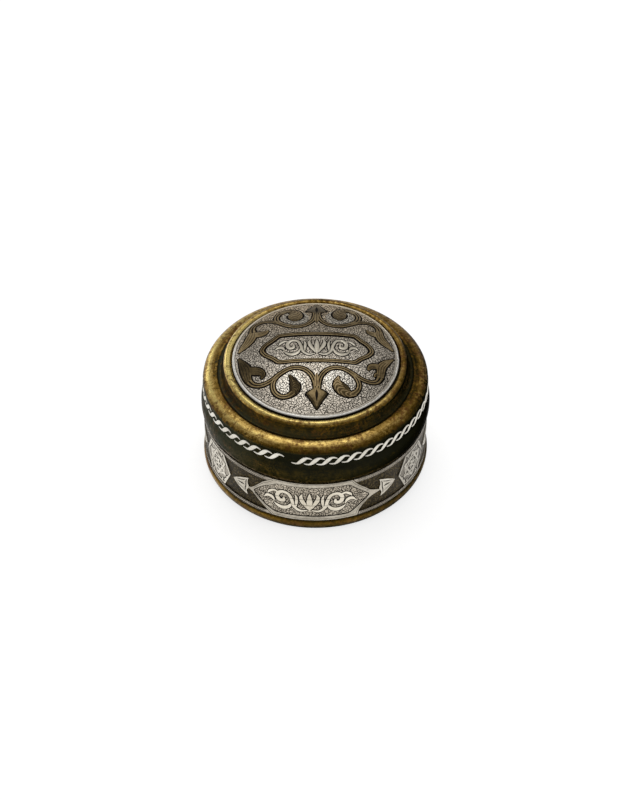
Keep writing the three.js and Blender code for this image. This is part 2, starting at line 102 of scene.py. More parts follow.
# %% [markdown]
# ## Flat patterns on curved metal
# Inlay is drawn flat and then laid on the metal. So every pattern here is made of flat points,
# and a small function lifts a point and a height onto the dome or round the wall.

# %% Lifts: from flat points to the metal
def on_dome(x, y, height):
    slope = 2 * DOME_RISE / FIELD_RADIUS ** 2
    normal = Vector((slope * x, slope * y, 1)).normalized()
    return Vector((x, y, dome_z(x, y))) + normal * height


def on_wall(turn):
    def lift(along, z, height):
        angle = turn + along / WALL_RADIUS
        radius = wall_radius(z) + height
        return Vector((radius * math.sin(angle), -radius * math.cos(angle), z))
    return lift


def on_skirt(along, z, height):
    angle = along / SKIRT_RADIUS
    radius = SKIRT_RADIUS + height
    return Vector((radius * math.sin(angle), -radius * math.cos(angle), z))


# %% Curves through a few points
def between(t, start, end, a, b):
    """The value at t on a straight run from a at start to b at end."""
    return ((end - t) * a + (t - start) * b) / (end - start)


def spline(points, steps):
    """A centripetal curve through points of any number of values, with so many steps a span."""
    p = [np.array(q, float) for q in points]
    p = [2 * p[0] - p[1]] + p + [2 * p[-1] - p[-2]]
    out = []
    for i in range(1, len(p) - 2):
        near = p[i - 1:i + 3]
        knots = [0.0]
        for a, b in zip(near, near[1:]):
            knots.append(knots[-1] + max(np.linalg.norm((b - a)[:2]), 1e-6) ** 0.5)
        k0, k1, k2, k3 = knots
        for step in range(steps):
            t = k1 + (k2 - k1) * step / steps
            first = between(t, k0, k1, near[0], near[1])
            second = between(t, k1, k2, near[1], near[2])
            third = between(t, k2, k3, near[2], near[3])
            early, late = between(t, k0, k2, first, second), between(t, k1, k3, second, third)
            out.append(between(t, k1, k2, early, late))
    out.append(p[-2])
    return np.array(out)


def sides(path):
    """Unit steps along a flat path, turned a quarter to the left."""
    along = np.gradient(np.asarray(path)[:, :2], axis=0)
    along /= np.maximum(np.linalg.norm(along, axis=1), 1e-9)[:, None]
    return along, np.stack([-along[:, 1], along[:, 0]], 1)


def band_outline(points, margin=0.0, steps=6):
    path = spline(points, steps)
    along, left = sides(path)
    middle = path[:, :2].copy()
    middle[0] -= along[0] * margin
    middle[-1] += along[-1] * margin
    half = (path[:, 2] + margin)[:, None]
    return np.concatenate([middle + left * half, (middle - left * half)[::-1]])


def flat_section(bottom, top):
    """A section with a flat top, for a cut or for the dark band round a leaf, which is partly a
    painted shadow.
    """
    return [(-1, bottom), (-1, top), (1, top), (1, bottom)]


def signed_area(loop):
    x, y = np.asarray(loop)[:, 0], np.asarray(loop)[:, 1]
    return 0.5 * float(np.sum(x * np.roll(y, -1) - np.roll(x, -1) * y))


def ccw(loop):
    loop = np.asarray(loop, float)[:, :2]
    return loop if signed_area(loop) > 0 else loop[::-1]


def grow(loop, margin):
    loop = ccw(loop)
    before = loop - np.roll(loop, 1, 0)
    after = np.roll(loop, -1, 0) - loop
    first = np.stack([before[:, 1], -before[:, 0]], 1)
    second = np.stack([after[:, 1], -after[:, 0]], 1)
    first /= np.linalg.norm(first, axis=1)[:, None]
    second /= np.linalg.norm(second, axis=1)[:, None]
    out = first + second
    out /= np.linalg.norm(out, axis=1)[:, None]
    reach = margin / np.maximum(np.sum(out * first, 1), 0.35)
    return loop + out * reach[:, None]


# %% Meshes and pieces
def fill(loops, spacing):
    """Triangles over flat closed loops, each with the numbers of the loops that hold it."""
    loops = [ccw(loop) for loop in loops]
    points = [Vector(p) for loop in loops for p in loop]
    rings = []
    start = 0
    for loop in loops:
        rings.append(list(range(start, start + len(loop))))
        start += len(loop)
    every = np.concatenate(loops)
    (x0, y0), (x1, y1) = every.min(0), every.max(0)
    for row, y in enumerate(np.arange(y0 + spacing / 2, y1, spacing * 0.866)):
        shift = spacing / 2 * (row % 2)
        points += [Vector((x, y)) for x in np.arange(x0 + spacing / 4 + shift, x1, spacing)]
    made = delaunay_2d_cdt(points, [], rings, 0, 1e-5, True)
    return made[0], list(zip(made[2], made[5]))


class Shape:
    """Vertices and faces gathered for one mesh, each face with the number of its material."""

    def __init__(self):
        self.vertices = []
        self.faces = []
        self.slots = []

    def add(self, vertices, faces, slot=0):
        start = len(self.vertices)
        self.vertices += [tuple(v) for v in vertices]
        self.faces += [tuple(start + i for i in face) for face in faces]
        self.slots += [slot] * len(faces) if isinstance(slot, int) else list(slot)

    def loft(self, path, section, lift, slot=0, closed=False, marks=None):
        """Sweeps a section of (side, height) along a path of (x, y, half width). The section can
        also be a list with one section for each point of the path. marks: slots of single sides."""
        path = np.asarray(path, float)
        if closed:
            left = sides(np.concatenate([path[-1:], path, path[:1]]))[1][1:-1]
        else:
            left = sides(path)[1]
        rows = len(path)
        sections = section if isinstance(section[0], list) else [section] * rows
        vertices = [
            lift(x + lx * half * side, y + ly * half * side, height)
            for (x, y, half), (lx, ly), points in zip(path, left, sections)
            for side, height in points
        ]
        count = len(sections[0])
        faces, slots = [], []
        for i in range(rows if closed else rows - 1):
            j = (i + 1) % rows
            for k in range(count):
                n = (k + 1) % count
                faces.append((i * count + k, j * count + k, j * count + n, i * count + n))
                slots.append((marks or {}).get(k, slot))
        if not closed:
            faces += [tuple(range(count)), tuple(range((rows - 1) * count, rows * count))[::-1]]
            slots += [slot, slot]
        self.add(vertices, faces, slots)

    def plate(self, keep, cut, lift, bottom, top, spacing, slot=0, zones=()):
        """A closed plate over the loops in keep but not in cut. Each zone gives its loops a slot."""
        loops = list(keep) + list(cut)
        kinds = ["keep"] * len(keep) + ["cut"] * len(cut)
        for zone, zone_slot in zones:
            loops += list(zone)
            kinds += [zone_slot] * len(zone)
        flat, owned = fill(loops, spacing)
        kept, slots = [], []
        for triangle, owner in owned:
            found = [kinds[o] for o in owner]
            if "keep" in found and "cut" not in found:
                kept.append(triangle)
                last = kinds[max(owner)]
                slots.append(last if isinstance(last, int) else slot)
        used = sorted({i for triangle in kept for i in triangle})
        order = {i: n for n, i in enumerate(used)}
        tops = [tuple(order[i] for i in triangle) for triangle in kept]
        upper = [lift(flat[i][0], flat[i][1], top) for i in used]
        if bottom is None:
            self.add(upper, tops, slots)
            return
        size = len(used)
        lower = [lift(flat[i][0], flat[i][1], bottom) for i in used]
        edges = {(t[i], t[(i + 1) % 3]) for t in tops for i in range(3)}
        walls = [(a, a + size, b + size, b) for a, b in edges if (b, a) not in edges]
        under = [tuple(i + size for i in t[::-1]) for t in tops]
        self.add(upper + lower, tops + under + walls, slots + [slot] * (len(under) + len(walls)))


CREASE = math.radians(40)


def add_object(name, data):
    obj = bpy.data.objects.new(name, data)
    bpy.context.scene.collection.objects.link(obj)
    return obj


def bare_mesh(name, shape):
    mesh = bpy.data.meshes.new(name)
    mesh.from_pydata([Vector(v) * MM for v in shape.vertices], [], shape.faces)
    return mesh


def make_object(name, shape, materials, patina=None):
    """A smooth mesh object from a shape, its faces turned outwards."""
    mesh = bare_mesh(name, shape)
    mesh.polygons.foreach_set("material_index", shape.slots)
    for material in materials:
        mesh.materials.append(material)
    mesh.polygons.foreach_set("use_smooth", [True] * len(mesh.polygons))
    if patina:
        mesh.attributes.new("patina", "FLOAT", "POINT").data.foreach_set("value", patina)
    work = bmesh.new()
    work.from_mesh(mesh)
    bmesh.ops.recalc_face_normals(work, faces=work.faces)
    work.to_mesh(mesh)
    work.free()
    mesh.set_sharp_from_angle(angle=CREASE)
    return add_object(name, mesh)


def settle(obj, body, stands_for=()):
    """Lets a piece ride on its body, and says which solids it stands for."""
    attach(obj, body)
    if stands_for:
        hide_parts(*stands_for)
    print(obj.name, len(obj.data.polygons), "faces on", body)


def piece(name, shape, materials, body, node):
    """A shape as an object that stands for one solid."""
    settle(make_object(name, shape, materials), body, [node])


# %% Colours and node helpers
def colour(red, green, blue):
    """An sRGB colour of 0 to 255 as the linear values that a shader takes."""
    def linear(c):
        c /= 255
        return c / 12.92 if c <= 0.04045 else ((c + 0.055) / 1.055) ** 2.4
    return (linear(red), linear(green), linear(blue), 1.0)


class Nodes:
    """A node tree, with one short way to add a node to it."""

    def __init__(self, tree):
        self.nodes = tree.nodes
        self.links = tree.links

    def plug(self, value, socket):
        if isinstance(value, bpy.types.NodeSocket):
            self.links.new(value, socket)
        else:
            socket.default_value = value

    def add(self, kind, inputs, output=0, **settings):
        """Adds a node, fills its inputs from numbers or other nodes, and gives back one output."""
        made = self.nodes.new(kind)
        for key, value in settings.items():
            setattr(made, key, value)
        for key, value in inputs.items():
            self.plug(value, made.inputs[key])
        return made.outputs[output]


class Finish(Nodes):
    """A material and its Principled shader. Places and sizes inside a finish are in metres."""

    def __init__(self, name, metallic=1.0, roughness=0.35):
        self.material = bpy.data.materials.new(name)
        self.material.use_nodes = True
        super().__init__(self.material.node_tree)
        self.shader = self.nodes["Principled BSDF"]
        self.set(Metallic=metallic, Roughness=roughness)
        self.place = self.add("ShaderNodeTexCoord", {}, "Object")
        self.x, self.y, self.z = self.add("ShaderNodeSeparateXYZ", {"Vector": self.place}).node.outputs

    def set(self, **values):
        """Fills the shader's inputs and gives back the material."""
        for key, value in values.items():
            self.plug(value, self.shader.inputs[key.replace("_", " ")])
        return self.material

    def noise(self, scale, detail=4.0, rough=0.55, place=None):
        place = place or self.place
        inputs = {"Vector": place, "Scale": scale, "Detail": detail, "Roughness": rough}
        return self.add("ShaderNodeTexNoise", inputs, "Fac")

    def swing(self, amount, *noise):
        """Noise that goes as far below zero as above it."""
        return self.remap(self.noise(*noise), 0.3, 0.7, -amount, amount)

    def cells(self, scale):
        return self.add("ShaderNodeTexVoronoi", {"Vector": self.place, "Scale": scale}, "Distance")

    def remap(self, value, low_in, high_in, low_out=0.0, high_out=1.0):
        numbers = (value, low_in, high_in, low_out, high_out)
        return self.add("ShaderNodeMapRange", dict(enumerate(numbers)), "Result")

    def math(self, operation, first, *rest):
        for value in rest:
            first = self.add("ShaderNodeMath", {0: first, 1: value}, operation=operation)
        return first

    def plus(self, *values):
        return self.math("ADD", *values)

    def times(self, *values):
        return self.math("MULTIPLY", *values)

    def radius(self):
        """The distance from the axis."""
        return self.math("SQRT", self.plus(self.times(self.x, self.x), self.times(self.y, self.y)), 0.0)

    def lathe_place(self, stretch):
        """Coordinates that run along the turning marks, drawn out so many times along them."""
        along = self.times(self.math("ARCTAN2", self.x, self.y), 0.045 / stretch)
        return self.add("ShaderNodeCombineXYZ", {0: along, 1: self.radius(), 2: self.z}, "Vector")

    def ramp(self, value, stops):
        colours = self.add("ShaderNodeValToRGB", {"Fac": value}, "Color")
        elements = colours.node.color_ramp.elements
        while len(elements) < len(stops):
            elements.new(0.5)
        for element, (position, shade) in zip(elements, stops):
            element.position = position
            element.color = shade
        return colours

    def mix(self, factor, first, second):
        return self.add("ShaderNodeMix", {0: factor, 6: first, 7: second}, 2, data_type="RGBA")

    def blend(self, share, first, second):
        """Two values added up, the first one with this share."""
        return self.plus(self.times(first, share), self.times(second, 1 - share))

    def bump(self, height, distance, strength=0.6):
        """Bumps of a height that is given in millimetres."""
        inputs = {"Height": height, "Strength": strength, "Distance": distance * MM}
        self.set(Normal=self.add("ShaderNodeBump", inputs, "Normal"))


# %% [markdown]
# ## Finishes
# Old brass is bright only where hands rub it. Each turned piece carries a number at every point,
# 0 where it is rubbed bright and 1 deep in a hollow, and the finish turns it into colour. Below 0
# the metal has a high polish, and its colour there is lighter than the metal: a painted highlight.
# The number and the finish also paint light and shade: lighter towards the left and darker towards
# the right. The hollow beside the raised ring has gone green, and the deep parts turn a cooler
# grey-green towards the far left.

# %% Old brass
POLISH_AND_HIGHLIGHT = -0.25
WORN_SHADES = [(0.42, (120, 92, 31)), (0.6, (82, 62, 19)), (0.8, (50, 43, 20)), (0.97, (29, 29, 20))]


def old_brass(name, polish_and_highlight, bright, warm):
    """The three colours are those at the lowest patina level, at 0 and at 0.2. The first one
    is lighter than the metal: a painted highlight on the rubbed crests.
    """
    f = Finish(name)
    wear_and_light = f.add("ShaderNodeAttribute", {}, "Fac", attribute_name="patina")
    specks = f.remap(f.noise(950, 4, 0.75), 0.35, 0.65, -0.26, 0.26)
    uneven = f.plus(
        f.swing(0.11, 75, 5, 0.6), f.swing(0.18, 430, 4, 0.65), f.swing(0.12, 1700, 3, 0.7),
        f.times(specks, f.remap(f.noise(120, 2), 0.46, 0.56)),
        f.swing(0.1, 1500, 3, 0.65, f.lathe_place(14)))
    calm = f.remap(wear_and_light, 0.6, 0.95, 1.0, 0.4)
    calm_foot = f.remap(f.z, 0.0058, 0.0066, 0.5, 1.0)
    # Painted light and shade: the brass is lighter towards the left and darker towards the right.
    painted_light_left = f.remap(f.x, -0.046, -0.012, -0.22, 0.0)
    painted_shade_right = f.remap(f.x, 0.012, 0.044, 0.0, 0.12)
    depth = f.plus(wear_and_light, f.times(uneven, calm, calm_foot), painted_light_left, painted_shade_right)
    shades = [(POLISH_AND_HIGHLIGHT, polish_and_highlight), (0.0, bright), (0.2, warm)] + WORN_SHADES
    stops = [((at - POLISH_AND_HIGHLIGHT) / (1 - POLISH_AND_HIGHLIGHT), colour(*tone)) for at, tone in shades]
    brown = f.ramp(f.remap(depth, POLISH_AND_HIGHLIGHT, 1.0), stops)
    radius = f.radius()
    hollow = f.times(
        f.remap(radius, 0.0401, 0.0406), f.remap(radius, 0.0428, 0.0418),
        f.remap(f.z, 0.045, 0.046), f.remap(f.x, -0.03, 0.012, 0.9, 0.2))
    deep = f.remap(depth, 0.42, 0.66)
    olive = f.mix(f.times(deep, hollow), brown, colour(74, 71, 47))
    # The deep parts turn a cooler grey-green towards the far left.
    far_left = f.times(deep, f.remap(f.x, -0.022, -0.04, 0.0, 0.8))
    grey_green = f.mix(far_left, olive, colour(56, 60, 50))
    tarnish = f.times(
        f.remap(f.noise(480, 4, 0.7), 0.46, 0.6), f.remap(f.noise(110, 3, 0.6), 0.42, 0.55),
        f.remap(depth, 0.5, 0.8, 0.75, 0.0))
    red = f.mix(tarnish, grey_green, colour(104, 66, 36))
    pits = f.times(f.remap(f.cells(1300), 0.0, 0.22, 1.0, 0.0), f.remap(f.noise(230, 2), 0.5, 0.6))
    rough = f.plus(f.remap(depth, POLISH_AND_HIGHLIGHT, 1, 0.25, 0.46), f.remap(f.noise(300), 0.3, 0.7, -0.05, 0.09))
    f.bump(f.plus(f.noise(260, 5), f.times(tarnish, -0.5)), 0.26, 0.4)
    edge = f.mix(f.remap(depth, 0.4, 0.9), (1, 1, 1, 1), (0.3, 0.3, 0.3, 1))
    return f.set(Base_Color=f.mix(pits, red, colour(34, 26, 14)), Roughness=rough, Specular_Tint=edge)


# %% Silver, copper and the dark lines
def silver(name, light, shade, scale, bump, warmth=0.0, dull=0.42, bright=0.3, painted_dimming_right=0.0, painted_dimming_sides=0.0):
    """warmth is how much yellower and darker it turns towards the back of the lid. The last two
    arguments are painted shade: how far it is darkened towards the right and towards both sides."""
    light, shade = colour(*light), colour(*shade)
    f = Finish(name)
    cloud = f.remap(f.noise(110, 5, 0.6), 0.32, 0.68)
    fine = f.remap(f.noise(scale, 4, 0.7), 0.35, 0.65)
    f.bump(fine, bump, 0.5)
    tone = f.mix(f.blend(0.45, cloud, fine), shade, light)
    if warmth:
        yellow = [(a + b) / 2 * c for a, b, c in zip(light, shade, (0.9, 0.75, 0.52, 1.0))]
        tone = f.mix(f.remap(f.y, 0.004, 0.026, 0.0, warmth), tone, yellow)
    # A dark tone for painted shade, towards the right and towards both sides.
    painted_shade_tone = [c * 0.4 for c in shade[:3]] + [1.0]
    if painted_dimming_right:
        tone = f.mix(f.remap(f.x, -0.04, 0.04, 0.0, painted_dimming_right), tone, painted_shade_tone)
    if painted_dimming_sides:
        aside = f.math("ABSOLUTE", f.x, 0.0)
        tone = f.mix(f.remap(aside, 0.019, 0.031, 0.0, painted_dimming_sides), tone, painted_shade_tone)
    return f.set(Base_Color=tone, Roughness=f.remap(cloud, 0, 1, dull, bright))


def copper(name, *shades):
    """shades: its dark, middle and light colour."""
    f = Finish(name)
    cloud = f.remap(f.noise(90, 5, 0.6), 0.32, 0.68)
    fine = f.remap(f.noise(900, 4, 0.7), 0.35, 0.65)
    stops = [(i / 2, colour(*shade)) for i, shade in enumerate(shades)]
    f.bump(fine, 0.08, 0.4)
    return f.set(Base_Color=f.ramp(f.blend(0.6, cloud, fine), stops),
                 Roughness=f.remap(cloud, 0, 1, 0.5, 0.36))


def dark_line():
    f = Finish("dark_line", metallic=0.0, roughness=0.8)
    tone = f.mix(f.remap(f.noise(700), 0.35, 0.65), colour(18, 14, 9), colour(38, 30, 20))
    return f.set(Base_Color=tone, Specular_IOR_Level=0.15)


def stippled_ground():
    f = Finish("stippled_ground", roughness=0.5)
    dots = f.remap(f.cells(1150), 0.1, 0.55)
    cloud = f.remap(f.noise(300, 5, 0.65), 0.35, 0.65)
    f.bump(dots, -0.12, 0.7)
    base = f.mix(cloud, colour(74, 63, 38), colour(124, 108, 72))
    return f.set(Base_Color=f.mix(f.times(dots, 0.85), base, colour(24, 19, 11)))


# The first brass colour is lighter than the metal, a painted highlight on the crests.
BRASS = old_brass("old_brass", (255, 229, 142), (218, 184, 106), (167, 134, 70))
PLAIN_BRASS = old_brass("plain_brass", (180, 156, 100), (160, 136, 84), (134, 110, 62))
SILVER = silver("plain_silver", (228, 222, 208), (176, 168, 152), 800, 0.06)
FRAME_SILVER = silver("frame_silver", (208, 200, 184), (154, 146, 131), 800, 0.06)
BORDER_SILVER = silver("border_silver", (198, 189, 174), (138, 129, 115), 800, 0.06)
# Near-white silver for the rim: partly its rubbed shine, partly a painted highlight.
RIM_SILVER_HIGHLIGHT = silver("rim_silver", (255, 253, 248), (238, 232, 220), 800, 0.05, 0.7)
LEAF_SILVER = silver("leaf_silver", (248, 240, 222), (208, 198, 178), 700, 0.06)
# The field is darkened towards both sides, a painted shade, and turns yellower and darker towards the
# back.
FIELD_SILVER = silver(
    "field_silver", (255, 245, 228), (222, 209, 190), 1500, 0.09, 0.7, 0.3, 0.19, painted_dimming_sides=0.42)
WALL_SILVER = silver("wall_silver", (222, 211, 192), (160, 149, 131), 1500, 0.14)
# The medallion silver and its straps are darkened towards the right, a painted shade.
MEDALLION_SILVER = silver("medallion_silver", (190, 182, 167), (130, 122, 110), 1300, 0.12, painted_dimming_right=0.6)
MEDALLION_STRAP = silver("medallion_strap", (244, 238, 224), (196, 188, 172), 800, 0.06, painted_dimming_right=0.5)
# The silver inside the scroll loops is made brighter, a painted highlight.
LOOP_HIGHLIGHT_SILVER = silver("loop_silver", (255, 250, 238), (240, 230, 212), 900, 0.09, 0.25, 0.26, 0.18)
ROPE_SILVER = silver("rope_silver", (240, 237, 226), (204, 198, 184), 700, 0.06)
COPPER = copper("old_copper", (98, 82, 54), (156, 135, 97), (194, 172, 130))
LIGHT_COPPER = copper("light_copper", (120, 100, 70), (168, 145, 106), (200, 178, 140))
DARK_COPPER = copper("dark_copper", (48, 40, 25), (94, 80, 54), (134, 116, 82))
LINE = dark_line()
GROUND = stippled_ground()
print("finishes", len(bpy.data.materials))

# %% [markdown]
# ## Turned pieces
# The wall, base, collar and lid shell are turned on a lathe, so each is one outline spun round
# the axis. The outline carries the patina number beside radius and height; on the lid this number
# also paints light and shade.

# %% Spinning an outline
TURNS = 240


def spin(name, outline, materials, body, stands_for, ground=None, extra=None):
    """outline: (radius, height, patina) round a closed ring, or from axis to axis. ground picks
    the spans that have the second material, and extra adds to the patina."""
    shape = Shape()
    patina = []
    rows = []
    for radius, height, wear_and_light in outline:
        turns = TURNS if radius > 1e-6 else 1
        rows.append(list(range(len(shape.vertices), len(shape.vertices) + turns)))
        for turn in range(turns):
            angle = 2 * math.pi * turn / TURNS
            shape.vertices.append((radius * math.sin(angle), -radius * math.cos(angle), height))
            patina.append(wear_and_light + (extra(radius, height, angle) if extra else 0.0))
    spans = len(rows) - (1 if len(rows[0]) == 1 else 0)
    for index in range(spans):
        after = (index + 1) % len(rows)
        a, b = rows[index], rows[after]
        on_ground = ground is not None and ground(outline[index], outline[after])
        for turn in range(TURNS):
            nxt = (turn + 1) % TURNS
            corners = (a[turn % len(a)], a[nxt % len(a)], b[nxt % len(b)], b[turn % len(b)])
            shape.faces.append(tuple(dict.fromkeys(corners)))
            shape.slots.append(1 if on_ground else 0)
    settle(make_object(name, shape, materials, patina), body, stands_for)


def arc(radius, height, width, rise, start, end, steps, patina):
    """Points on an ellipse, with patina values spread evenly along it."""
    out = []
    for share in np.linspace(0, 1, steps + 1):
        angle = math.radians(start + (end - start) * share)
        wear_and_light = float(np.interp(share, np.linspace(0, 1, len(patina)), patina))
        out.append((radius + width * math.cos(angle), height + rise * math.sin(angle), wear_and_light))
    return out


def bend(points, steps=6):
    return [tuple(p) for p in spline(points, steps)]


# %% The box: wall with its foot, base plate and collar
SOLE = INNER_RADIUS - 1.6
GROUND_RADIUS = WALL_RADIUS - RELIEF
foot = bend([
    (SOLE + 2.2, 0, 0.95), (FOOT_RADIUS - 1.3, 0.7, 0.88), (FOOT_RADIUS - 0.4, 2.1, 0.74),
    (FOOT_RADIUS - 0.01, 3.9, 0.6), (FOOT_RADIUS - 0.12, 5.0, 0.6), (WALL_RADIUS - 0.22, 5.85, 0.74),
])
ground_line = [
    (wall_radius(z) - RELIEF, z, 0.7) for z in np.linspace(5.9, BOX_HEIGHT - 0.4, 14)
]
wall_outline = [(SOLE, 0, 0.9)] + foot + ground_line + [
    (GROUND_RADIUS - 0.15, BOX_HEIGHT - 0.1, 0.9), (GROUND_RADIUS - 0.4, BOX_HEIGHT, 0.95),
    (INNER_RADIUS, BOX_HEIGHT, 0.9), (INNER_RADIUS, 0.9, 0.8), (SOLE, 0.9, 0.8),
]


def is_ground(a, b):
    return min(a[0], b[0]) > GROUND_RADIUS - 0.3 and min(a[1], b[1]) > 5.7


spin("body_wall_turned", wall_outline, [BRASS, GROUND], "box", ["body_wall"], is_ground)
base = high("base_plate")
spin("base_plate_turned", [
    (0, 1, 0.5), (base.x - 0.1, 1, 0.6), (base.x, 1.1, 0.6), (base.x, base.z, 0.7), (0, base.z, 0.5),
], [PLAIN_BRASS], "box", ["base_plate"])
collar = high("inner_collar").x
spin("inner_collar_turned", [
    (collar - 1, COLLAR_LOW, 0.5), (collar, COLLAR_LOW, 0.5), (collar, BOX_HEIGHT, 0.75),
    (collar, COLLAR_HIGH - 0.5, 0.35), (collar - 0.12, COLLAR_HIGH - 0.15, 0.25),
    (collar - 0.4, COLLAR_HIGH, 0.2), (collar - 0.8, COLLAR_HIGH, 0.2),
    (collar - 1, COLLAR_HIGH - 0.2, 0.3),
], [PLAIN_BRASS], "box", ["inner_collar"])

# %% The lid shell
RING_RADIUS = LID_RADIUS - 11.8
RING_Z = LID_EDGE + 24.3
SHOULDER_RADIUS = LID_RADIUS - 7.05
SHOULDER_Z = LID_EDGE + 16.45
SHOULDER_TOP = SHOULDER_Z + 3.25
LID_INNER = INNER_RADIUS + 0.2


def dome_line(depth, wear_and_light, steps=24):
    radii = [FIELD_RADIUS * (1 - i / steps) for i in range(steps + 1)]
    return [(r, dome_z(r, 0) - depth, wear_and_light) for r in radii]


edge = [(LID_INNER, LID_EDGE, 0.9), (LID_RADIUS - 1.4, LID_EDGE, 1.0)]
bead = bend([
    (LID_RADIUS - 0.95, LID_EDGE + 0.35, 0.5), (LID_RADIUS - 0.4, LID_EDGE + 1.0, 0.7),
    (LID_RADIUS - 0.08, LID_EDGE + 2.5, 0.9), (LID_RADIUS - 0.015, LID_EDGE + 4.5, 0.87),
    (LID_RADIUS - 0.25, LID_EDGE + 6.8, 0.92), (SKIRT_RADIUS, LID_EDGE + 9.4, 0.97),
])
skirt = [(SKIRT_RADIUS, LID_EDGE + h, 0.98) for h in (11, 13, 15)]
# Shoulder patina: partly wear, partly painted shade that keeps the highlight near the crest.
shoulder = arc(SHOULDER_RADIUS, SHOULDER_Z, SKIRT_RADIUS - SHOULDER_RADIUS, 3.25, 0, 88, 26,
               [1.0, 0.76, 0.5, 0.33, 0.11, 0.0, 0.14])
cove = bend([
    (SHOULDER_RADIUS - 0.15, SHOULDER_TOP - 0.02, 0.35),
    (SHOULDER_RADIUS - 0.75, SHOULDER_TOP - 0.25, 0.7), (41.5, SHOULDER_TOP - 0.2, 0.74),
    (41.0, SHOULDER_TOP + 0.15, 0.72), (40.62, SHOULDER_TOP + 0.9, 0.7),
    (40.3, SHOULDER_TOP + 2.2, 0.74), (40.02, SHOULDER_TOP + 3.7, 0.74),
])
# Ring patina: partly wear, partly painted shade on the outer side and a painted highlight on top.
ring = arc(RING_RADIUS, RING_Z, 1.75, 1.75, 0, 148, 28, [0.72, 0.46, 0.04, -0.18, -0.27, -0.27, -0.22])
seat = [(FIELD_RADIUS + 0.25, dome_z(FIELD_RADIUS, 0) - 0.7, 1.0)]
inside = [
    (38.45, RING_Z - 1.43, 0.6), (38.98, RING_Z - 2.76, 0.6), (39.7, SHOULDER_TOP - 0.65, 0.6),
    (41.45, SHOULDER_TOP - 1.55, 0.6),
] + arc(SHOULDER_RADIUS, SHOULDER_Z, LID_INNER - SHOULDER_RADIUS, 1.95, 90, 0, 10, [0.6, 0.6])


def painted_light_and_shade(radius, height, angle):
    """What is added to the patina, as painted light and shade. The ring is darkened at the back and
    the right, and at the left it is lightened on its crest and darkened low on its outer side. The
    shoulder is darkened on its inner half at both sides and lightened on its outer half at the left."""
    left, right = max(0.0, -math.sin(angle)), max(0.0, math.sin(angle))
    if height > RING_Z - 0.1:
        under = max(0.0, 1 - (height - RING_Z) / 1.3)
        back = max(0.0, -math.cos(angle))
        return 0.64 * back ** 2 + 0.5 * right ** 4 + (0.32 * under - 0.13) * left ** 2
    if abs(height - SHOULDER_TOP) > 2.6:
        return 0.0
    inner = max(0.0, 1 - abs(radius - 44.0) / 2.5)
    outer = max(0.0, 1 - abs(radius - 47.0) / 1.7)
    return inner * (0.62 * right ** 3 + 0.62 * left ** 2) - 0.26 * outer * left ** 2


top = dome_line(0.7, 1.0) + dome_line(2.0, 0.6)[::-1]
spin("lid_shell_turned", edge + bead + skirt + shoulder + cove + ring + seat + top + inside,
     [BRASS], "lid", ["lid_shell"], extra=painted_light_and_shade)

# %% [markdown]
# ## The lid's top
# Silver sheet covers the dome. Copper scrolls are let into it, so the sheet has windows in their
# shape, a hair wider than the copper, and the dark seat shows as a line round every scroll. A dark
# band on the silver round each window widens that line, partly as a painted shadow of its edge.

# %% Scrolls of the lid, as bands of (x, y, half width)
# A point without a half width has BAND's.
BAND = 1.05
BUD_X = 0.5
front_rings = [
    [(1.2, -23.6, 0.9), (1.4, -20), (2.4, -16.2), (5, -12.9), (9.2, -11.3), (13.4, -12.3), (17, -15.2),
     (18.7, -19.2), (18, -22, 1.1), (16.2, -24, 1.3), (13.6, -24.3, 1.7), (11, -23, 2.2),
     (9.6, -20.8, 2.3), (9.3, -18.6, 1.5), (9.9, -15.9, 0.2)],
    [(0, -23.6, 0.9), (-0.2, -20.6, 0.95), (-1, -17.3), (-3, -14), (-5.8, -12), (-9, -11.4),
     (-12.4, -12.3), (-15.8, -14.6), (-17.9, -17.6), (-18.2, -20.8), (-16.9, -23.8), (-14.4, -25.6),
     (-11.6, -25.5, 1.2), (-9.4, -24, 1.8), (-8.6, -21.6, 2.4), (-9.4, -18.8, 1.6), (-11, -15.3, 0.2)],
]
front_branches = [
    [(13.4, -12.3), (16.4, -14), (18.8, -15.6), (21.2, -16.6), (24, -16.9), (26.4, -15.9, 1.2),
     (27.8, -13.4, 1.5), (28, -10.6, 1.9), (28.4, -7.6, 2.1), (30.4, -4.4, 1.6), (33.6, -1.2, 0.2)],
    [(-12.4, -12.3), (-15.4, -14.2, 1.15), (-18, -16.4, 1.15), (-20.8, -18, 1.15),
     (-23.8, -18.5, 1.15), (-26.6, -17.5, 1.2), (-28.6, -15.1, 1.5), (-29.5, -12, 2.1),
     (-29.9, -9, 2.6), (-31.2, -5.5, 1.9), (-33.2, -0.8, 0.3)],
]
front_lobes = [
    [(28.2, -7.9, 1.6), (25.6, -7.7, 1.6), (23.6, -8.7, 1.3), (22.5, -10.7, 0.4)],
    [(28, -12.1, 0.9), (26.2, -12.1, 0.9), (25.2, -13.6, 0.3)],
    [(-29.6, -9.4, 2), (-26.8, -10.1, 2.3), (-24.4, -11.1, 2.0), (-22.9, -12.5, 1.4),
     (-22.5, -14.0, 0.8), (-23.3, -15.1, 0.3)],
    [(9.6, -18.4, 0.6), (11.4, -20.2, 1.2), (13, -21.6, 1.3), (14.3, -23, 0.7)],
]
front_bud = [(BUD_X, y, half) for y, half in (
    (-22.0, 1.0), (-22.6, 1.7), (-23.3, 2.9), (-24.1, 4.2), (-24.9, 4.9), (-26.5, 4.0), (-28.7, 2.4),
    (-30.8, 1.1), (-32.3, 0.15))]
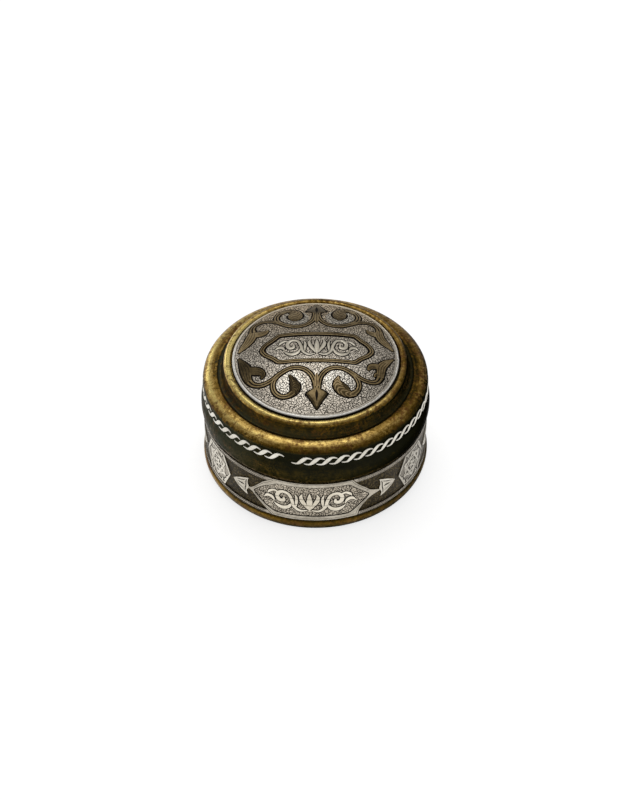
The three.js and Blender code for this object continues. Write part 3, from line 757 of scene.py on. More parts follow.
back_rings = [
    [(1.3, 26.4, 0.9), (1.4, 23.2, 1), (2.2, 19.9), (4.3, 17), (7.6, 15.5, 1.15), (11.2, 15.6, 1.2),
     (15, 17.6, 1.2), (18, 20.8, 1.2), (18.8, 24.4, 1.2), (17.2, 27.9, 1.2), (14, 29.5, 1.4),
     (11.4, 28.2, 2.4), (10.5, 25, 3.4), (10.5, 22, 2.6), (10.6, 20.4, 0.6)],
    [(-0.4, 26.4, 0.9), (-0.4, 22.9, 1), (-1.2, 19.5), (-3.4, 16.6), (-6.8, 15, 1.15),
     (-10.4, 15.3, 1.2), (-14, 17.4, 1.2), (-16.6, 20.5, 1.2), (-17, 24, 1.2), (-15.3, 27.2, 1.2),
     (-12, 28.6, 1.4), (-9.3, 26.8, 2.6), (-8.8, 23.6, 3.6), (-9, 20.9, 2.7), (-9.2, 19.5, 0.6)],
]
back_branches = [
    [(11.2, 15.6, 1.2), (15, 17.4), (18, 19.4), (21, 20.7), (24.2, 20.6), (26.7, 18.9, 1.2),
     (27.8, 16, 1.5), (27.7, 13, 2.1), (28.7, 10, 2.2), (30.9, 7.2, 1.7), (33.6, 4.2, 0.3)],
    [(-10.4, 15.3, 1.2), (-14, 17.3), (-17, 19.7), (-20, 21.3), (-23.3, 21.7), (-26.2, 20.3, 1.1),
     (-27.5, 17.6, 1.3), (-27.4, 14.6, 1.8), (-27.9, 11.5, 2.5), (-29.4, 8, 2.2), (-31.5, 5.2, 1.5),
     (-33.2, 2.8, 0.4)],
]
back_lobes = [
    [(27.7, 12.6, 1.8), (25.2, 13, 1.7), (23.2, 13.8, 1.2), (22.4, 15, 0.4)],
    [(-27.6, 13, 1.8), (-24.6, 12.5, 2), (-22, 13, 1.7), (-20.5, 14.1, 0.5)],
]
back_bud = [(BUD_X, y, half) for y, half in (
    (24.9, 0.9), (25.5, 1.5), (26.2, 2.5), (27.1, 4.6), (29, 3.8), (31, 2.5), (33, 1.2), (34.4, 0.15))]
for group in (front_rings, front_branches, back_rings, back_branches):
    group[:] = [[(*point, BAND)[:3] for point in points] for points in group]
all_bands = (front_rings + front_branches + front_lobes + [front_bud]
             + back_rings + back_branches + back_lobes + [back_bud])

PANEL_HALF, PANEL_HEIGHT, PANEL_BAND = 24.9, 9.45, 2.0
PANEL_MIDDLE = np.array([0.6, 0.85])
corners = ((0.68, 1), (0.79, 0.68), (0.92, 0.42), (1, 0.08))
quarter = [(x * PANEL_HALF, y * PANEL_HEIGHT) for x, y in corners]
right_side = quarter + [(x, -y) for x, y in quarter[::-1]]
panel_loop = np.array(right_side + [(-x, y) for x, y in right_side[::-1]]) + PANEL_MIDDLE
GAP = 0.25
# A dark band on the silver round each window: the seat's dark line, widened by a painted shadow.
OUTLINE_AND_SHADOW = 0.2
UNDERSIDE = -0.55
SPACING = 1.6
FLAT_CUT = flat_section(-0.02, 0.012)


def dense_loop(loop, spacing=0.8):
    """A closed loop with extra points along each side, so that it bends with the metal."""
    out = []
    loop = np.asarray(loop, float)[:, :2]
    for a, b in zip(loop, np.roll(loop, -1, 0)):
        steps = max(int(np.linalg.norm(b - a) / spacing), 1)
        out += [a + (b - a) * t / steps for t in range(steps)]
    return np.array(out)


def eased(loop, passes=2):
    """A dense loop whose corners are drawn a little round."""
    for _ in range(passes):
        loop = (np.roll(loop, 1, 0) + 2 * loop + np.roll(loop, -1, 0)) / 4
    return loop


def circle(radius, count=240):
    turns = np.linspace(0, 2 * math.pi, count + 1)[:-1]
    return np.stack([radius * np.sin(turns), radius * np.cos(turns)], 1)


def outlines_grown(margin):
    """The outlines of all copper bands and of the panel's frame, grown by a margin."""
    return [band_outline(points, margin) for points in all_bands] + [grow(panel_edge, margin)]


panel_edge = eased(dense_loop(panel_loop))
pointed = quarter[:3] + [(PANEL_HALF + 0.4, 0)] + [(x, -y) for x, y in quarter[2::-1]]
pointed = np.array(pointed + [(-x, y) for x, y in pointed[::-1]]) + PANEL_MIDDLE


def panel_inset(distance):
    """The panel's outline drawn in by a distance, with one point at either end."""
    return eased(dense_loop(grow(pointed, -distance)))


# %% The silver field
RIM_RADIUS = 36.0
GROUND_EDGE = 34.9
LOOP_RADIUS = 6.2
field = Shape()
# The round spots inside the scroll loops get a brighter silver, a painted highlight.
loop_middles = ((10.4, -18.6), (-10.6, -19.2), (10.6, 22.4), (-9.2, 21.6))
loops = [circle(LOOP_RADIUS) + middle for middle in loop_middles]
field_zones = [
    ([circle(RIM_RADIUS)], 2), ([circle(GROUND_EDGE)], 0), (loops, 4),
    # the dark band round each window, partly a painted shadow
    (outlines_grown(GAP + OUTLINE_AND_SHADOW), 1),
]
field.plate([circle(FIELD_RADIUS + 0.1)], outlines_grown(GAP), on_dome, UNDERSIDE, 0.0, SPACING, 1,
            zones=field_zones)
edge_line = [(x * 0.988 - 0.25, y * 0.988, 0.1) for x, y in circle(35.0)]
field.loft(edge_line, flat_section(-0.03, 0.012), on_dome, 1, closed=True)


def rim_point(turn):
    """The rubbed rim is broad at the left and the front, and thin and nicked at the right. Its
    near-white silver is partly a painted highlight.
    """
    right, back = max(0.0, math.sin(turn)), max(0.0, -math.cos(turn))
    nicks = math.sin(41 * turn) * math.sin(67 * turn + 1)
    half = 0.5 - 0.17 * right - 0.16 * back + (0.05 + 0.08 * right) * nicks
    radius = RIM_RADIUS + 0.1 - half
    return (radius * math.sin(turn), -radius * math.cos(turn), half)


rim = [rim_point(math.atan2(x, -y)) for x, y in circle(RIM_RADIUS, 480)]
rounded = [(-1, -0.02), (-0.65, 0.09), (-0.1, 0.16), (0.5, 0.12), (1, -0.02)]
field.loft(rim, rounded, on_dome, 3, closed=True)
piece("lid_field_chased", field, [FIELD_SILVER, LINE, SILVER, RIM_SILVER_HIGHLIGHT, LOOP_HIGHLIGHT_SILVER], "lid",
      "lid_field")

# %% Copper bands with a groove down the middle
GROOVED = [
    (-1, -0.5), (-1, 0.04), (-0.76, 0.16), (-0.5, 0.2), (-0.25, 0.18), (-0.18, 0.08),
    (0.18, 0.08), (0.25, 0.18), (0.5, 0.2), (0.76, 0.16), (1, 0.04), (1, -0.5),
]
GROOVE_MARKS = {0: 1, 1: 1, 4: 1, 5: 1, 6: 1, 9: 1, 10: 1}
ROUNDED = [
    (-1, -0.5), (-1, 0.06), (-0.86, 0.16), (-0.5, 0.19), (0.5, 0.19), (0.86, 0.16), (1, 0.06), (1, -0.5),
]
EDGE_MARKS = {0: 1, 1: 1, 5: 1, 6: 1}
CUT_LINE = flat_section(0.16, 0.215)
FLUTES = 7
FLUTE_SLANT = 0.06
CUT_HALF = 0.13


def cut_across(shape, points, first, last, slot=1, wide=0.17, reach=0.8):
    """Short curved cuts across a band, like the flutes of a shell."""
    path = spline(points, 12)
    left = sides(path)[1]
    for share in np.linspace(first, last, FLUTES):
        line = []
        for step in np.linspace(-1, 1, 7):
            at = (share + FLUTE_SLANT * (1 - step * step)) * (len(path) - 1)
            index = min(int(at), len(path) - 1)
            x, y, half = path[index]
            side = left[index] * half * reach * step
            line.append((x + side[0], y + side[1], wide * (1 - 0.5 * abs(step))))
        shape.loft(line, CUT_LINE, on_dome, slot)


def cut_along(shape, points, share, first, last):
    """A cut along a band, at a share of its half width to one side."""
    path = spline(points, 8)
    left = sides(path)[1]
    start, stop = int(len(path) * first), int(len(path) * last)
    line = []
    for i in range(start, stop):
        taper = math.sin(math.pi * (i - start + 0.5) / (stop - start)) ** 0.5
        x, y, wide = path[i]
        line.append((x + left[i][0] * wide * share, y + left[i][1] * wide * share, CUT_HALF * taper))
    shape.loft(line, CUT_LINE, on_dome, 1)


def arrow_bud(shape, bud, sign):
    """The arrow-shaped bud: a dark border, a light kite in it and a dark slit down its middle."""
    shape.loft(spline(bud, 6), ROUNDED, on_dome, 2, marks=EDGE_MARKS)
    tip = bud[-1][1]
    kite = [(x, y + 0.3 * sign, half - 1.15) for x, y, half in bud[1:-1] if half > 1.4]
    kite = [(BUD_X, kite[0][1] + 0.9 * sign, 0.3)] + kite + [(BUD_X, tip + 1.3 * sign, 0.12)]
    raised = [(-1, 0.1)] + [(side, 0.207) for side in (-0.88, -0.5, 0, 0.5, 0.88)] + [(1, 0.1)]
    shape.loft(spline(kite, 6), raised, on_dome, 0 if sign > 0 else 2)
    top = kite[0][1]
    stem = spline([(BUD_X, top + up * sign, half) for up, half in ((6.6, 0.35), (4, 0.95), (0, 1.0))], 6)
    shape.loft(stem, raised, on_dome, 3 if sign > 0 else 0)
    shape.loft([(x, y, 0.12) for x, y, half in stem], CUT_LINE, on_dome, 1)
    start = kite[1][1] - 0.6 * sign
    slit = [(BUD_X, start - down * sign, half) for down, half in ((0, 0.05), (2.4, 0.62), (5.6, 0.08))]
    shape.loft(spline(slit, 6), flat_section(0.18, 0.217), on_dome, 1)


def scrollwork(end, rings, branches, lobes, bud, sign, is_dark):
    """The copper at one end of the lid. is_dark tells from a band's last point if its leaf is dark."""
    shape = Shape()

    def lay(points, section, marks, tone=0):
        shape.loft(spline(points, 6), section, on_dome, tone, marks=marks)

    for points in rings:
        narrow = sum(half <= 1.25 for x, y, half in points) - 1
        tone = 2 if is_dark(points[-1]) else 0
        lay(points[:narrow + 1], GROOVED, GROOVE_MARKS)
        lay(points[narrow - 1:], ROUNDED, EDGE_MARKS, tone)
        broad_flutes = (3, 0.3, 0.86) if tone and points[-1][0] > 0 else ()
        cut_across(shape, points, (narrow + 0.4) / len(points), 0.93, *broad_flutes)
    for points in branches:
        lay(points[:-4], GROOVED, GROOVE_MARKS)
        lay(points[-5:], ROUNDED, EDGE_MARKS, 2 if is_dark(points[-1]) else 0)
        for share, first, last in ((0.0, 0.6, 0.93), (0.5, 0.62, 0.95), (-0.5, 0.62, 0.95)):
            cut_along(shape, points, share, first, last)
    for points in lobes:
        lay(points, ROUNDED, EDGE_MARKS, 2 if is_dark(points[-1]) else 0)
        cut_along(shape, points, 0.0, 0.3, 0.9)
        cut_along(shape, points, 0.5, 0.25, 0.85)
    arrow_bud(shape, bud, sign)
    piece(f"scrollwork_{end}_engraved", shape, [COPPER, LINE, DARK_COPPER, LIGHT_COPPER], "lid",
          f"scrollwork_{end}")


scrollwork("front", front_rings, front_branches, front_lobes, front_bud, 1, lambda point: point[0] < 15)
scrollwork("back", back_rings, back_branches, back_lobes, back_bud, -1, lambda point: False)

panel_frame = Shape()
frame_path = [(x, y, PANEL_BAND / 2) for x, y in grow(panel_edge, -PANEL_BAND / 2)]
panel_frame.loft(frame_path, GROOVED, on_dome, closed=True, marks=GROOVE_MARKS)
piece("panel_frame_engraved", panel_frame, [COPPER, LINE], "lid", "panel_frame")


# %% A leaf ornament for the panels
def leaf_ornament(width, height, weight):
    """A three-leaf middle with a curling stem, leaves and an end leaf on either side of it."""
    side = [
        [(0.03, -0.7, 0.35), (0.095, -0.28, 0.75), (0.155, 0.15, 0.95), (0.18, 0.58, 0.7),
         (0.15, 0.92, 0.12)],
        [(0.05, -0.86, 0.4), (0.2, -0.93, 0.6), (0.33, -0.52, 0.7), (0.375, 0.14, 0.75),
         (0.45, 0.74, 0.75), (0.59, 0.88, 0.8), (0.69, 0.42, 0.9), (0.64, -0.08, 1.0),
         (0.55, -0.02, 0.85), (0.545, 0.36, 0.3)],
        [(0.385, -0.26, 0.35), (0.45, -0.66, 0.85), (0.57, -0.84, 1.0), (0.69, -0.7, 0.7),
         (0.77, -0.42, 0.12)],
        [(0.285, -0.5, 0.3), (0.275, -0.02, 0.62), (0.275, 0.44, 0.55), (0.31, 0.84, 0.12)],
        [(0.66, 0.72, 0.45), (0.76, 0.84, 0.6), (0.86, 0.6, 0.6), (0.9, 0.34, 0.15)],
        [(0.755, -0.3, 0.3), (0.815, 0.06, 0.85), (0.9, 0.1, 0.8), (0.99, -0.2, 0.12)],
    ]
    middle = [[(0, -0.92, 0.3), (0, -0.46, 0.95), (0, 0.12, 1.25), (0, 0.62, 0.75), (0, 0.98, 0.12)]]
    flipped = [[(-x, y, half) for x, y, half in band] for band in side]
    return [
        [(x * width / 2, y * height / 2, half * weight) for x, y, half in band]
        for band in middle + side + flipped
    ]


def placed(bands, along, up):
    return [[(x + along, y + up, half) for x, y, half in points] for points in bands]


def lay_leaves(shape, bands, lift, floor, rise):
    """Lays each band as a raised leaf of the third material, with a dark band round it: a dark
    outline that is partly a painted shadow at the leaf's foot.
    """
    raised = [
        (-1, floor), (-1, floor + 0.6 * rise), (-0.75, floor + rise), (0, floor + 1.1 * rise),
        (0.75, floor + rise), (1, floor + 0.6 * rise), (1, floor),
    ]
    # The dark band round each leaf: partly a dark outline, partly a painted shadow.
    shadow = flat_section(floor - 0.02, floor + 0.015)
    for points in bands:
        path = spline(points, 6)
        shape.loft(path, raised, lift, 2)
        shape.loft(path + (0, 0, 0.5), shadow, lift, 1)


PANEL_INSET = PANEL_BAND + GAP
PANEL_FLOOR = -0.28
panel_leaves = placed(leaf_ornament(37, 10.2, 0.85), *PANEL_MIDDLE)
panel = Shape()
panel.plate([panel_inset(PANEL_INSET)], [], on_dome, UNDERSIDE, PANEL_FLOOR, SPACING, 1,
            zones=[([panel_inset(PANEL_INSET + 0.25)], 0)])
lay_leaves(panel, panel_leaves, on_dome, PANEL_FLOOR, 0.2)
piece("lid_panel_chased", panel, [FIELD_SILVER, LINE, LEAF_SILVER], "lid", "lid_panel")

# %% [markdown]
# ## Chasing the ground
# The dark squiggles are cut one by one with a small punch. Geometry Nodes scatter three curl
# shapes over the silver, never closer than a set spacing, each turned by a seeded random angle.

# %% Curl shapes
curl_box = bpy.data.collections.new("curl_shapes")
CURL_TOP = [(-1, 0), (-0.8, 0.022), (0.8, 0.022), (1, 0)]
CURLS = {
    "curl_s": [(-0.84, -0.26, 0.08), (-0.42, 0.3, 0.18), (0, 0, 0.19), (0.42, -0.3, 0.18),
               (0.84, 0.26, 0.08)],
    "curl_c": [(-0.74, 0.4, 0.08), (-0.42, -0.12, 0.18), (0, -0.32, 0.19), (0.42, -0.12, 0.18),
               (0.74, 0.4, 0.08)],
    "curl_j": [(-0.8, 0.06, 0.08), (-0.22, 0.22, 0.18), (0.28, 0.0, 0.18), (0.5, -0.5, 0.08)],
}
for name, points in CURLS.items():
    shape = Shape()
    shape.loft(points, CURL_TOP, lambda x, y, height: Vector((x, y, height)))
    obj = make_object(name, shape, [LINE])
    bpy.context.scene.collection.objects.unlink(obj)
    curl_box.objects.link(obj)


# %% The scattering tree
class Pattern(Nodes):
    """A Geometry Nodes tree with named inputs."""

    def __init__(self, name, sockets):
        self.tree = bpy.data.node_groups.new(name, "GeometryNodeTree")
        self.tree.is_modifier = True
        super().__init__(self.tree)
        for label, kind in {"Geometry": "Geometry", **sockets}.items():
            self.tree.interface.new_socket(label, in_out="INPUT", socket_type="NodeSocket" + kind)
        self.tree.interface.new_socket("Geometry", in_out="OUTPUT", socket_type="NodeSocketGeometry")
        self.given = self.nodes.new("NodeGroupInput").outputs

    def close(self, instances):
        """Makes the instances real, gives them their material and ends the tree."""
        real = self.add("GeometryNodeRealizeInstances", {"Geometry": instances})
        done = self.add("GeometryNodeSetMaterial", {"Geometry": real, "Material": self.given["Material"]})
        self.links.new(done, self.nodes.new("NodeGroupOutput").inputs["Geometry"])
        return self.tree


def scatter_tree():
    tree = Pattern("scatter_curls", {
        "Spacing": "Float", "Size": "Float", "Seed": "Int", "Curls": "Collection", "Material": "Material",
    })
    given = tree.given
    points = tree.add("GeometryNodeDistributePointsOnFaces", {
        "Mesh": given["Geometry"], "Distance Min": given["Spacing"], "Density Max": 8.0e6,
        "Seed": given["Seed"],
    }, "Points", distribute_method="POISSON")
    curls = tree.add("GeometryNodeCollectionInfo", {
        "Collection": given["Curls"], "Separate Children": True, "Reset Children": True,
    }, "Instances")
    angles = tree.add("FunctionNodeRandomValue", {
        "Min": (0, 0, 0), "Max": (0, 0, 2 * math.pi), "Seed": given["Seed"],
    }, "Value", data_type="FLOAT_VECTOR")
    turned = tree.add("FunctionNodeRotateRotation", {
        "Rotation": points.node.outputs["Rotation"],
        "Rotate By": tree.add("FunctionNodeEulerToRotation", {"Euler": angles}),
    }, rotation_space="LOCAL")
    return tree.close(tree.add("GeometryNodeInstanceOnPoints", {
        "Points": points, "Instance": curls, "Pick Instance": True, "Rotation": turned,
        "Scale": given["Size"],
    }, "Instances"))


def run_tree(obj, tree, values):
    """Puts the tree on the object, sets its named inputs, and keeps only the plain mesh."""
    modifier = obj.modifiers.new(tree.name, "NODES")
    modifier.node_group = tree
    for socket in tree.interface.items_tree:
        if socket.name in values:
            modifier[socket.identifier] = values[socket.name]
    obj.update_tag()
    bpy.context.view_layer.update()
    graph = bpy.context.evaluated_depsgraph_get()
    mesh = bpy.data.meshes.new_from_object(obj.evaluated_get(graph))
    obj.modifiers.clear()
    obj.data = mesh
    mesh.name = obj.name


CURL_TREE = scatter_tree()


def chase(name, surfaces, body, spacing, size, seed):
    """surfaces: (keep loops, cut loops, lift, height) of the ground to be chased."""
    sheet = Shape()
    for keep, cut, lift, height in surfaces:
        sheet.plate(keep, cut, lift, None, height, SPACING)
    obj = add_object(name, bare_mesh(name, sheet))
    run_tree(obj, CURL_TREE, {
        "Spacing": spacing * MM, "Size": size, "Seed": seed, "Curls": curl_box, "Material": LINE,
    })
    settle(obj, body)


CHASED_EDGE = 34.1
SUNK = 0.01
MARGIN = GAP + OUTLINE_AND_SHADOW + 0.2
chase("field_curls", [
    ([circle(CHASED_EDGE)], outlines_grown(MARGIN), on_dome, -SUNK),
], "lid", 0.8, 1.0, 3)
panel_cut = [band_outline(points, 0.72) for points in panel_leaves]
chase("panel_curls", [
    ([panel_inset(PANEL_INSET + 0.55)], panel_cut, on_dome, PANEL_FLOOR - SUNK),
], "lid", 0.7, 0.9, 5)

# %% [markdown]
# ## The wall
# Plates of silver stand on a ground that was cut back and stippled. They are drawn along the
# wall, bent round it, and repeated at three turns of a third of the circle.

# %% Wall cartouches
THIRD = 2 * math.pi / 3
FLOOR = -0.2
SEAT = -0.42
# Each is hand cut: its left point reaches further than its right one.
cart_right = [
    (16.3, BORDER_TOP), (18.0, 26.0), (20.1, 23.7), (22.6, 21.4), (24.4, 19.3), (26.6, 18.1),
    (28.9, 17.1), (30.0, 16.8), (30.0, 16.2), (28.5, 15.9), (25.9, 15.3), (23.7, 14.1), (20.9, 11.4),
    (19.3, 9.0), (18.7, LOWER_LOW),
]
cart_left = [
    (-19.4, LOWER_LOW), (-22.5, 9.2), (-25.9, 12.4), (-29.0, 15.8), (-31.2, 16.8), (-31.2, 17.4),
    (-29.6, 18.0), (-27.7, 19.8), (-23.7, 24.5), (-21.3, 26.4), (-18.5, BORDER_TOP),
]
opening = [
    (14.6, 26.4), (15.9, 25.4), (19.1, 22.1), (21.2, 20.2), (23.2, 18.4), (24.6, 16.8), (23.9, 15.6),
    (22.2, 14.2), (19.1, 11.7), (16.6, 9.5), (14.6, 8.3), (-18.0, 8.3), (-22.0, 10.4), (-24.9, 13.1),
    (-28.2, 16.3), (-28.5, 17.3), (-27.3, 18.5), (-25.2, 20.8), (-23.1, 22.6), (-20.6, 23.9),
    (-18.4, 25.4), (-16.4, 26.4),
]
# The upper line runs 0.5 mm under the frame's top edge, where it also paints the shade that the lid casts
# there.
frame_lines = [
    [(-28.3, 18.4), (-23.6, 23.8), (-21, 25.6), (-18.2, BORDER_TOP - 0.5), (16.0, BORDER_TOP - 0.5),
     (17.6, 25.5), (22, 21.1), (23.9, 19.2)],
    [(23.2, 14.6), (20.3, 11.7), (18.6, 9.1), (18.0, LOWER_LOW + 0.8), (-19.0, LOWER_LOW + 0.8),
     (-22.1, 9.7), (-28, 15.5)],
]
cart_loop = dense_loop(cart_right + cart_left)
cart_open = eased(dense_loop(opening), 1)
wall_leaves = placed(leaf_ornament(41.5, 11.4, 1.0), -2.6, 16.9)


def dense_line(points, half, spacing=0.8):
    line = dense_loop(list(points) + [points[-1]], spacing)
    return [(x, y, half) for x, y in line]


def wall_cartouche(number, turn):
    lift = on_wall(turn)
    shape = Shape()
    shape.plate([cart_loop], [cart_open], lift, SEAT, 0.0, 1.2, 3)
    shape.plate([cart_open], [], lift, SEAT, FLOOR, 1.4, 1, zones=[([grow(cart_open, -0.5)], 0)])
    for points in frame_lines:
        shape.loft(dense_line(points, 0.08), FLAT_CUT, lift, 1)
    lay_leaves(shape, wall_leaves, lift, FLOOR, 0.17)
    piece(f"wall_cartouche_{number}_chased", shape, [WALL_SILVER, LINE, LEAF_SILVER, FRAME_SILVER],
          "box", f"wall_cartouche_{number}")


# %% Wall medallions
MED_TOP = BORDER_LOW - 0.5
MED_LOW = LOWER_TOP + 0.5
MED_TIP = 10.2
MED_SHIFT = -0.6
med_corners = [(5.9, MED_TOP), (MED_TIP, INLAY_MIDDLE), (5.9, MED_LOW)]
med_corners += [(-x, y) for x, y in med_corners[::-1]]
med_loop = dense_loop(med_corners) + (MED_SHIFT, 0)
med_inner = dense_loop(grow(np.array(med_corners), -0.8)) + (MED_SHIFT, 0)
STAR = 7.2
RING = 5.6
LINE_HALF = 0.24
petal = ((0.4, 0.3), (1.2, 0.6), (2.1, 0.55), (3.0, 0.08))
corner_leaves = [
    [(8.0, 2.6, 0.15), (7.6, 3.6, 0.55), (7.0, 4.9, 0.15)],
    [(6.6, 5.0, 0.15), (6.1, 6.2, 0.6), (5.2, 7.4, 0.15)],
    [(3.4, 6.4, 0.15), (3.9, 7.4, 0.5), (3.2, 8.3, 0.15)],
]


def strap(shape, points, lift, half, closed=False):
    """A strap with a dark line on either side, along (x, y, weave). weave raises and lowers it
    where it goes over and under."""
    for wide, base, rise, slot in ((LINE_HALF, FLOOR - 0.02, 0.06, 1), (0.0, FLOOR, 0.13, 2)):
        tops = [base + rise + 0.05 * weave for x, y, weave in points]
        sections = [[(1, base), (0.85, top), (-0.85, top), (-1, base)] for top in tops]
        shape.loft([(x, y, half + wide) for x, y, weave in points], sections, lift, slot, closed)


def round_middle(radius, angle):
    return np.array([radius * math.cos(angle), radius * math.sin(angle) + INLAY_MIDDLE])


def wall_medallion(number, turn):
    on_plate = on_wall(turn)

    def lift(x, y, height):
        return on_plate(x + MED_SHIFT, y, height)

    shape = Shape()
    shape.plate([med_loop], [med_inner], on_plate, SEAT, 0.0, 1.2, 2)
    shape.plate([med_inner], [], on_plate, SEAT, FLOOR, 1.4, 1, zones=[([grow(med_inner, -0.25)], 0)])
    for start, sign in ((90, 1), (270, -1)):
        for step in range(3):
            first, last = (round_middle(STAR, math.radians(start + 120 * (step + end))) for end in (0, 1))
            strap(shape, [
                (*(first + (last - first) * t), math.sin(2 * math.pi * t) * sign)
                for t in np.linspace(0, 1, 25)
            ], lift, 0.55)
    turns = np.linspace(0, 2 * math.pi, 61)[:-1]
    strap(shape, [(*round_middle(RING, t), math.sin(6 * t)) for t in turns], lift, 0.42, closed=True)
    for way in np.radians(range(0, 360, 60)):
        leaf = [(*round_middle(reach, way), half) for reach, half in petal]
        lay_leaves(shape, [leaf], lift, FLOOR, 0.15)
    for up in (-1, 1):
        for side in (-1, 1):
            leaves = [[(side * x, up * y, half) for x, y, half in leaf] for leaf in corner_leaves]
            lay_leaves(shape, placed(leaves, 0, INLAY_MIDDLE), lift, FLOOR, 0.14)
    piece(f"wall_medallion_{number}_chased", shape, [MEDALLION_SILVER, LINE, MEDALLION_STRAP],
          "box", f"wall_medallion_{number}")


# %% Leaf buds
BUD_SHIFT = 1.6
bud_outline = [
    (38.3, 17.3), (36.6, 18.8), (34.2, 20.4), (31.8, 21.7), (29.4, 22.8), (29.9, 20.9), (29.9, 19.2),
    (29.4, 17.9), (29.4, 16.6), (30.3, 15.5), (30.7, 14.2), (30.1, 12.2), (32.0, 12.8), (34.2, 13.9),
    (36.4, 15.3), (37.7, 16.5),
]
BUD_CUT = flat_section(-0.06, -0.018)
bud_cuts = [
    [(31.9, 17.3, 0.12), (32.8, 17.5, 0.4), (34.2, 17.4, 0.34), (35.8, 17.3, 0.06)],
    [(31.0, 21.0, 0.06), (32.4, 20.0, 0.2), (34.4, 19.0, 0.2), (36.4, 18.1, 0.05)],
    [(31.6, 14.0, 0.06), (33.2, 14.9, 0.18), (35.0, 15.6, 0.16), (36.6, 16.5, 0.05)],
    [(30.3, 21.6, 0.06), (30.8, 20.2, 0.26), (30.9, 18.8, 0.26), (31.0, 17.2, 0.24), (31.4, 15.4, 0.26),
     (31.3, 13.6, 0.06)],
]


def leaf_bud(number, turn, side):
    lift = on_wall(turn)

    def put(x, y, *half):
        return (x if side > 0 else -x - BUD_SHIFT, y, *half)

    outline = dense_loop([put(*p) for p in bud_outline], 0.6)
    shape = Shape()
    shape.plate([outline], [], lift, SEAT, -0.03, 1.2, 0)
    for points in bud_cuts:
        shape.loft(spline([put(*p) for p in points], 4), BUD_CUT, lift, 1)
    piece(f"leaf_bud_{number}_engraved", shape, [SILVER, LINE], "box", f"leaf_bud_{number}")


for k in range(3):
    wall_cartouche(k + 1, k * THIRD)
    wall_medallion(k + 1, k * THIRD + THIRD / 2)
    leaf_bud(2 * k + 1, k * THIRD, 1)
    leaf_bud(2 * k + 2, k * THIRD, -1)

# %% Chased ground of the wall plates
wall_cut = [band_outline(points, 0.7) for points in wall_leaves]
chase("wall_curls", [
    ([grow(cart_open, -0.7)], wall_cut, on_wall(k * THIRD), FLOOR - SUNK) for k in range(3)
], "box", 0.78, 1.02, 11)

# %% [markdown]
# ## Borders and rope
# The borders carry slanting cuts, and the skirt carries a rope of silver strokes. One tree
# repeats a single shape round the axis, from a start angle and a pitch, and serves both.

# %% The repeating tree
def ring_tree():
    tree = Pattern("repeat_round_axis", {
        "Shape": "Object", "Count": "Int", "Start": "Float", "Pitch": "Float", "Material": "Material",
    })
    given = tree.given
    points = tree.add("GeometryNodeMeshLine", {"Offset": (0, 0, 0), "Count": given["Count"]})
    index = tree.add("GeometryNodeInputIndex", {})
    angle = tree.add("ShaderNodeMath", {0: index, 1: given["Pitch"], 2: given["Start"]},
                     operation="MULTIPLY_ADD")
    axis = tree.add("ShaderNodeCombineXYZ", {"Z": angle})
    return tree.close(tree.add("GeometryNodeInstanceOnPoints", {
        "Points": points,
        "Instance": tree.add("GeometryNodeObjectInfo", {"Object": given["Shape"]}, "Geometry"),
        "Rotation": tree.add("FunctionNodeEulerToRotation", {"Euler": axis}),
    }))


RING_TREE = ring_tree()


def repeat(name, shape, material, count, start, pitch, body, stands_for=()):
    """Repeats a shape round the axis, so many times from a start angle."""
    pattern = make_object(name + "_pattern", shape, [material])
    carrier = add_object(name, bpy.data.meshes.new(name))
    run_tree(carrier, RING_TREE, {
        "Shape": pattern, "Count": count, "Start": start, "Pitch": pitch, "Material": material,
    })
    bpy.data.objects.remove(pattern)
    settle(carrier, body, stands_for)


# %% Border strips with their slanting cuts
HATCH_PITCH = 0.95
LINE_INSET = 0.26


def cart_edge(points, z):
    """How far from a cartouche's middle its outline lies at a height, on one side."""
    rising = sorted(points, key=lambda p: p[1])
    return float(np.interp(z, [p[1] for p in rising], [abs(p[0]) for p in rising])) + 0.45


def strip_angle(label, number):
    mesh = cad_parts[f"{label}_{number}"].data
    middle = sum((v.co for v in mesh.vertices), Vector()) / len(mesh.vertices)
    return math.atan2(middle.x, -middle.y)


def border(label, bottom, top):
    """Three strips between the cartouches, with two lines and slanting cuts between them."""
    rise = (top - bottom) / 2 - 0.32
    slant = [(t * rise * 1.1, (bottom + top) / 2 + t * rise, 0.1) for t in (-1, 0, 1)]
    cut = Shape()
    cut.loft(slant, FLAT_CUT, on_wall(0))
    starts = [cart_edge(cart_right, z) for z in (bottom, top)]
    ends = [THIRD * WALL_RADIUS - cart_edge(cart_left, z) for z in (bottom, top)]
    first, last = max(starts) + 0.8, min(ends) - 0.8
    count = int((last - first) / HATCH_PITCH)
    loop = dense_loop([(starts[0], bottom), (ends[0], bottom), (ends[1], top), (starts[1], top)])
    for k in range(3):
        def off_middle(n):
            return abs(math.remainder(strip_angle(label, n) - (k + 0.5) * THIRD, 2 * math.pi))

        number = min((1, 2, 3), key=off_middle)
        lift = on_wall(k * THIRD)
        shape = Shape()
        shape.plate([loop], [], lift, SEAT, 0.0, 1.2, 0)
        for z in (bottom + LINE_INSET, top - LINE_INSET):
            shape.loft([(s, z, 0.08) for s in np.arange(first - 0.4, last + 0.4, 0.8)], FLAT_CUT, lift, 1)
        piece(f"{label}_{number}_cut", shape, [BORDER_SILVER, LINE], "box", f"{label}_{number}")
        start = k * THIRD + first / WALL_RADIUS
        repeat(f"{label}_hatching_{number}", cut, LINE, count, start, HATCH_PITCH / WALL_RADIUS, "box")


border("upper_border", BORDER_LOW, BORDER_TOP)
border("lower_border", LOWER_LOW, LOWER_TOP)

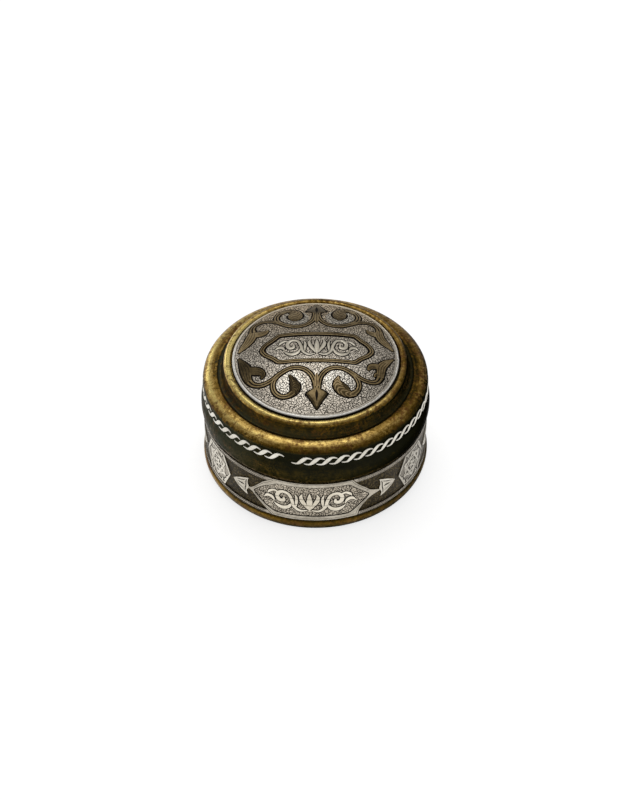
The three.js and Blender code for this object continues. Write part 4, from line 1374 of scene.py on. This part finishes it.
# %% The rope
stroke_path = [
    (-4.7, -1.45, 0.22), (-3.9, -1.72, 0.4), (-3.1, -1.84, 0.46), (-2.4, -1.84, 0.54),
    (-1.6, -1.48, 0.72), (-0.7, -0.6, 0.9), (0.2, 0.44, 0.95), (1.1, 1.32, 0.86), (1.9, 1.76, 0.66),
    (2.7, 1.78, 0.5), (3.5, 1.54, 0.38), (4.2, 1.1, 0.18),
]
HAMMERED = [
    (-1, -0.05), (-1, 0.1), (-0.75, 0.22), (-0.3, 0.27), (0.3, 0.27), (0.75, 0.22), (1, 0.1), (1, -0.05),
]
STROKES = 56
ROPE_START = math.radians(-6.6)
ROPE_PITCH = math.radians(6.289)
stroke = Shape()
stroke.loft(spline([(x, y + ROPE_MIDDLE, h) for x, y, h in stroke_path], 3), HAMMERED, on_skirt)
repeat("rope_strokes", stroke, ROPE_SILVER, STROKES, ROPE_START, ROPE_PITCH, "lid",
       ["rope_inlay"])
bpy.data.collections.remove(curl_box)

# %% [markdown]
# ## Camera, floor and light
# The camera looks down at the angle of the photograph through a long lens. A broad soft lamp
# stands above and a little behind the box, so the rolled edges catch light along their crests.

# %% Camera
ELEVATION = math.radians(44.5)
DISTANCE = 1.25
AIM = Vector((0, 0, 0.027))
FOCAL_LENGTH, PICTURE_HEIGHT = 2843, 800  # pixels of the photograph
SENSOR = 36
camera = add_object("camera", bpy.data.cameras.new("camera"))
camera.location = AIM + DISTANCE * Vector((0, -math.cos(ELEVATION), math.sin(ELEVATION)))
camera.rotation_euler = (math.pi / 2 - ELEVATION, 0, 0)
camera.data.sensor_width = SENSOR
camera.data.lens = FOCAL_LENGTH / PICTURE_HEIGHT * SENSOR
camera.data.shift_x = -2.0 / PICTURE_HEIGHT
camera.data.shift_y = 6.48 / PICTURE_HEIGHT
bpy.context.scene.camera = camera

# %% Floor: it shows white to the camera and in the metal, and keeps the box's shadow
FLOOR_HALF, FLOOR_Z = 6, -0.0005
corners = [(x * FLOOR_HALF, y * FLOOR_HALF, FLOOR_Z) for x, y in ((-1, -1), (1, -1), (1, 1), (-1, 1))]
floor_mesh = bpy.data.meshes.new("floor")
floor_mesh.from_pydata(corners, [], [(0, 1, 2, 3)])
floor = add_object("floor", floor_mesh)
white = Finish("floor_white", metallic=0.0, roughness=1.0)
rays = white.add("ShaderNodeLightPath", {}).node.outputs
seen = white.math("MAXIMUM", *(rays[f"Is {kind} Ray"] for kind in ("Camera", "Glossy", "Transmission")))
floor_mesh.materials.append(white.set(
    Base_Color=(0.8, 0.8, 0.8, 1), Specular_IOR_Level=0.0, Emission_Color=(1, 1, 1, 1),
    Emission_Strength=white.times(seen, 0.72)))
world = bpy.data.worlds.new("studio")
bpy.context.scene.world = world
world.use_nodes = True
background = world.node_tree.nodes["Background"]
background.inputs["Color"].default_value = (1, 1, 1, 1)
background.inputs["Strength"].default_value = 0.34


# %% Lamps
LIT = Vector((0, 0, 0.03))


def lamp(name, place, size, watts):
    data = bpy.data.lights.new(name, "AREA")
    data.shape = "DISK"
    data.size = size
    data.energy = watts
    obj = add_object(name, data)
    obj.location = place
    obj.rotation_euler = (LIT - Vector(place)).to_track_quat("-Z", "Y").to_euler()


lamp("overhead", (-0.08, 0.53, 1.31), 0.9, 2.25)
lamp("back_left", (-0.8, 0.93, 0.46), 0.5, 0.6)
lamp("back_right", (0.56, 0.93, 0.75), 0.36, 0.14)
bpy.context.scene.view_settings.view_transform = "Standard"
